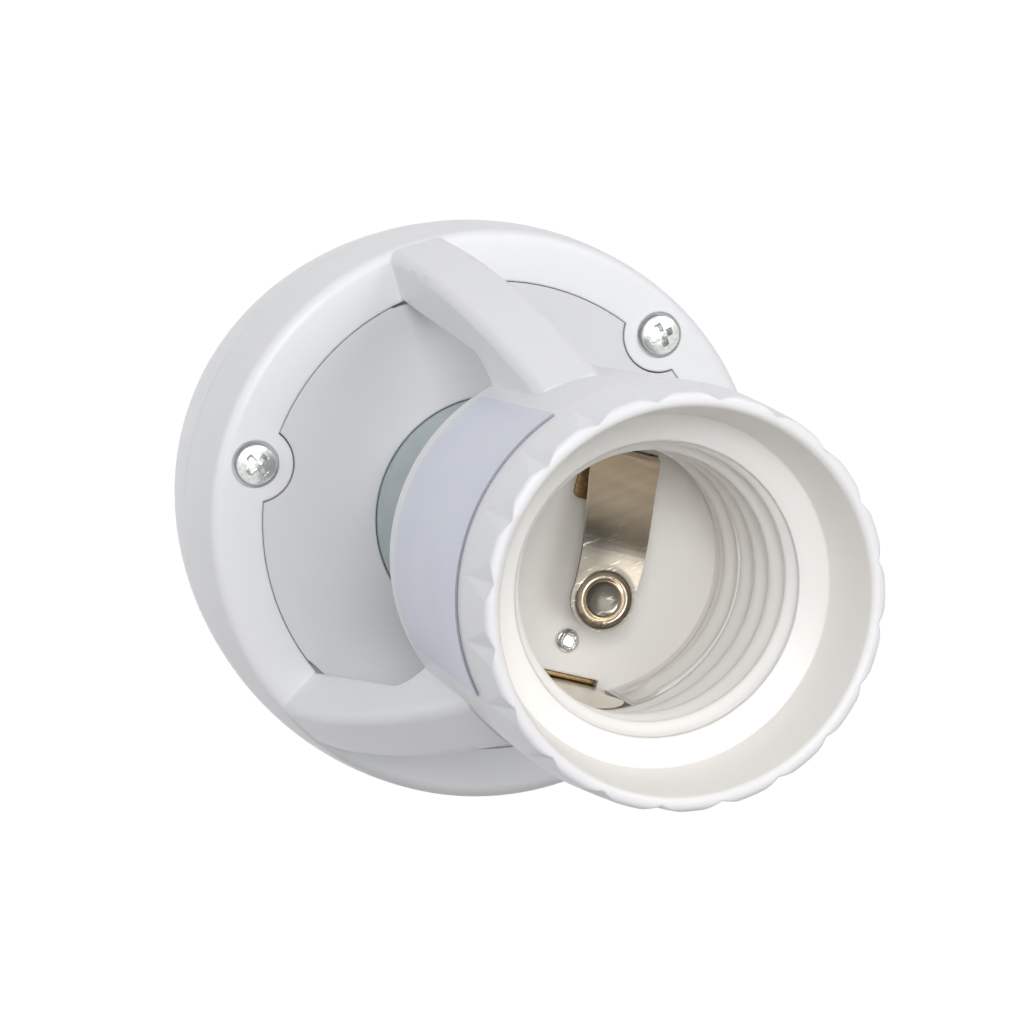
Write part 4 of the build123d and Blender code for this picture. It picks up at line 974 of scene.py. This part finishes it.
def rivet_outlines(along, sideways, angle, seat):
    """Outlines of one rivet around its own axis, moved to its place on the floor: a flat with a
    bell curve of the radius for its rim, a quarter ellipse for its edge, and the shank."""
    around = np.linspace(0.0, FULL_TURN, 72, endpoint=False)
    top = np.linspace(0.02, RIVET_RADIUS - RIVET_EDGE, 30)
    rim = RIM_RADIUS + RIM_SWING * np.cos(4.0 * around)[:, None]
    crown = seat + CROWN_HEIGHT + RIM_HEIGHT * np.exp(-(((top - rim) / RIM_SPREAD) ** 2))
    bend = np.linspace(0.0, pi / 2.0, 9)[1:]
    edge_radius = RIVET_RADIUS - RIVET_EDGE + RIVET_EDGE * np.sin(bend)
    edge_height = seat + RIVET_SIDE + RIVET_ROUNDING * np.cos(bend)
    under_radius = np.array([RIVET_RADIUS, RIVET_SHANK, RIVET_SHANK, 0.02])
    under_height = np.array([seat, seat, RIVET_END, RIVET_END])
    stations = len(around)
    radius = np.tile(np.concatenate([top, edge_radius, under_radius]), (stations, 1))
    low = np.tile(np.concatenate([edge_height, under_height]), (stations, 1))
    outlines = turned(radius, np.hstack([crown, low]), around)
    outlines[..., 0] += along * cos(angle) + sideways * sin(angle)
    outlines[..., 1] += along * sin(angle) - sideways * cos(angle)
    return outlines


for name, along, sideways, angle, seat in (
    ("rivet_side", 8.1, 0.0, SIDE_ANGLE, FLOOR),
    ("rivet_centre", 6.8, LEAF_SHIFT, CENTRE_ANGLE, FLOOR + FOOT_THICKNESS),
):
    outlines = rivet_outlines(along, sideways, angle, seat)
    rivet = skin(name, outlines, True, "holder", SCREW_PLATING, 35.0)
    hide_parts("contact_rivets")

# %% [markdown]
# The part stands on a plain pale floor, half a millimetre under its tip. The floor has to show
# as white, yet keep the part's shadow, so it is a mix: mostly a glow that only the camera,
# mirrors and clear things see, and for the rest matt white that takes light and shadow.

# %% Floor
FLOOR_HEIGHT = cad_box[0][2] - 0.0005
FLOOR_REACH = 3.0
FLOOR_GREY = (0.62, 0.62, 0.62, 1.0)
GLOW_STRENGTH = 1.12
GLOW_SHARE = 0.86


def seen_directly(tree):
    """1 for rays from the camera, from mirrors and through clear things, else 0."""
    path = tree.nodes.new("ShaderNodeLightPath")
    first = tree.nodes.new("ShaderNodeMath")
    first.operation = "MAXIMUM"
    second = tree.nodes.new("ShaderNodeMath")
    second.operation = "MAXIMUM"
    tree.links.new(path.outputs["Is Camera Ray"], first.inputs[0])
    tree.links.new(path.outputs["Is Glossy Ray"], first.inputs[1])
    tree.links.new(first.outputs["Value"], second.inputs[0])
    tree.links.new(path.outputs["Is Transmission Ray"], second.inputs[1])
    return second.outputs["Value"]


def floor_finish():
    """Pale matt floor that glows white to the camera but keeps part of its shadow."""
    material = bpy.data.materials.new("floor_white")
    material.use_nodes = True
    tree = material.node_tree
    tree.nodes.clear()
    matt = tree.nodes.new("ShaderNodeBsdfDiffuse")
    matt.inputs["Color"].default_value = FLOOR_GREY
    glow = tree.nodes.new("ShaderNodeEmission")
    glow.inputs["Strength"].default_value = GLOW_STRENGTH
    share = tree.nodes.new("ShaderNodeMath")
    share.operation = "MULTIPLY"
    share.inputs[1].default_value = GLOW_SHARE
    tree.links.new(seen_directly(tree), share.inputs[0])
    mixed = tree.nodes.new("ShaderNodeMixShader")
    tree.links.new(share.outputs["Value"], mixed.inputs["Fac"])
    tree.links.new(matt.outputs["BSDF"], mixed.inputs[1])
    tree.links.new(glow.outputs["Emission"], mixed.inputs[2])
    end = tree.nodes.new("ShaderNodeOutputMaterial")
    tree.links.new(mixed.outputs["Shader"], end.inputs["Surface"])
    return material


corners = np.array([(-1, -1, 0), (1, -1, 0), (1, 1, 0), (-1, 1, 0)]) * FLOOR_REACH
corners[:, 2] = FLOOR_HEIGHT
floor_mesh = bpy.data.meshes.new("floor")
floor_mesh.from_pydata(corners.tolist(), [], [(0, 1, 2, 3)])
floor = bpy.data.objects.new("floor", floor_mesh)
bpy.context.scene.collection.objects.link(floor)
set_finish(floor, floor_finish())
print("floor at", round(FLOOR_HEIGHT / MM, 1), "mm")

# %% [markdown]
# The background shows as white because camera rays, and the rays that mirror or pass through,
# see the surround at full strength. The part itself is lit by a far dimmer one, which opens
# the shadows from all sides and leaves the modelling of the form to the lamps.

# %% Surround
SURROUND_SEEN = 1.0
SURROUND_LIGHT = 0.18
world = bpy.data.worlds.new("surround")
world.use_nodes = True
bpy.context.scene.world = world
sky = world.node_tree.nodes["Background"]
strength = world.node_tree.nodes.new("ShaderNodeMapRange")
strength.inputs["To Min"].default_value = SURROUND_LIGHT
strength.inputs["To Max"].default_value = SURROUND_SEEN
world.node_tree.links.new(seen_directly(world.node_tree), strength.inputs["Value"])
world.node_tree.links.new(strength.outputs["Result"], sky.inputs["Strength"])
sky.inputs["Color"].default_value = (1.0, 1.0, 1.0, 1.0)
print("surround", world.name)

# %% [markdown]
# The lamps are those of a product table. The smallest and strongest is near the camera and
# reaches down into the socket. A broader one stands above it to the right, a third below it
# reaches the wall that the others leave dark, and a slightly cool one opens the shadows on the
# left. Each place is given as so much to the camera's right, up and back, as a photographer
# would say it.

# %% Lamps
LAMP_DISTANCE = 0.9
NEUTRAL = (1.0, 1.0, 1.0)
SLIGHTLY_COOL = (0.93, 0.95, 1.0)


def soft_lamp(name, place, aim, size, watts, colour):
    """A square area lamp at a place, turned towards an aim."""
    lamp = bpy.data.lights.new(name, "AREA")
    lamp.shape = "SQUARE"
    lamp.size = size
    lamp.energy = watts
    lamp.color = colour
    holder = bpy.data.objects.new(name, lamp)
    bpy.context.scene.collection.objects.link(holder)
    holder.location = place
    holder.rotation_euler = (Vector(aim) - Vector(place)).to_track_quat("-Z", "Y").to_euler()
    return holder


middle = Vector((0.0, 0.0, 0.05))
for name, right, up, back, size, watts, colour in (
    ("front_lamp", 0.0, 0.2, 1.0, 0.32, 3.1, NEUTRAL),
    ("upper_lamp", 0.8, 0.6, 0.7, 0.5, 2.3, NEUTRAL),
    ("lower_lamp", 0.6, -0.15, 1.2, 0.4, 1.3, NEUTRAL),
    ("left_lamp", -1.0, 0.3, 0.8, 0.5, 1.75, SLIGHTLY_COOL),
):
    towards = CAMERA_RIGHT * right + CAMERA_UP * up + camera_back * back
    soft_lamp(name, middle + towards.normalized() * LAMP_DISTANCE, middle, size, watts, colour)
    print(name, watts, "W")
bpy.context.scene.view_settings.view_transform = "Standard"
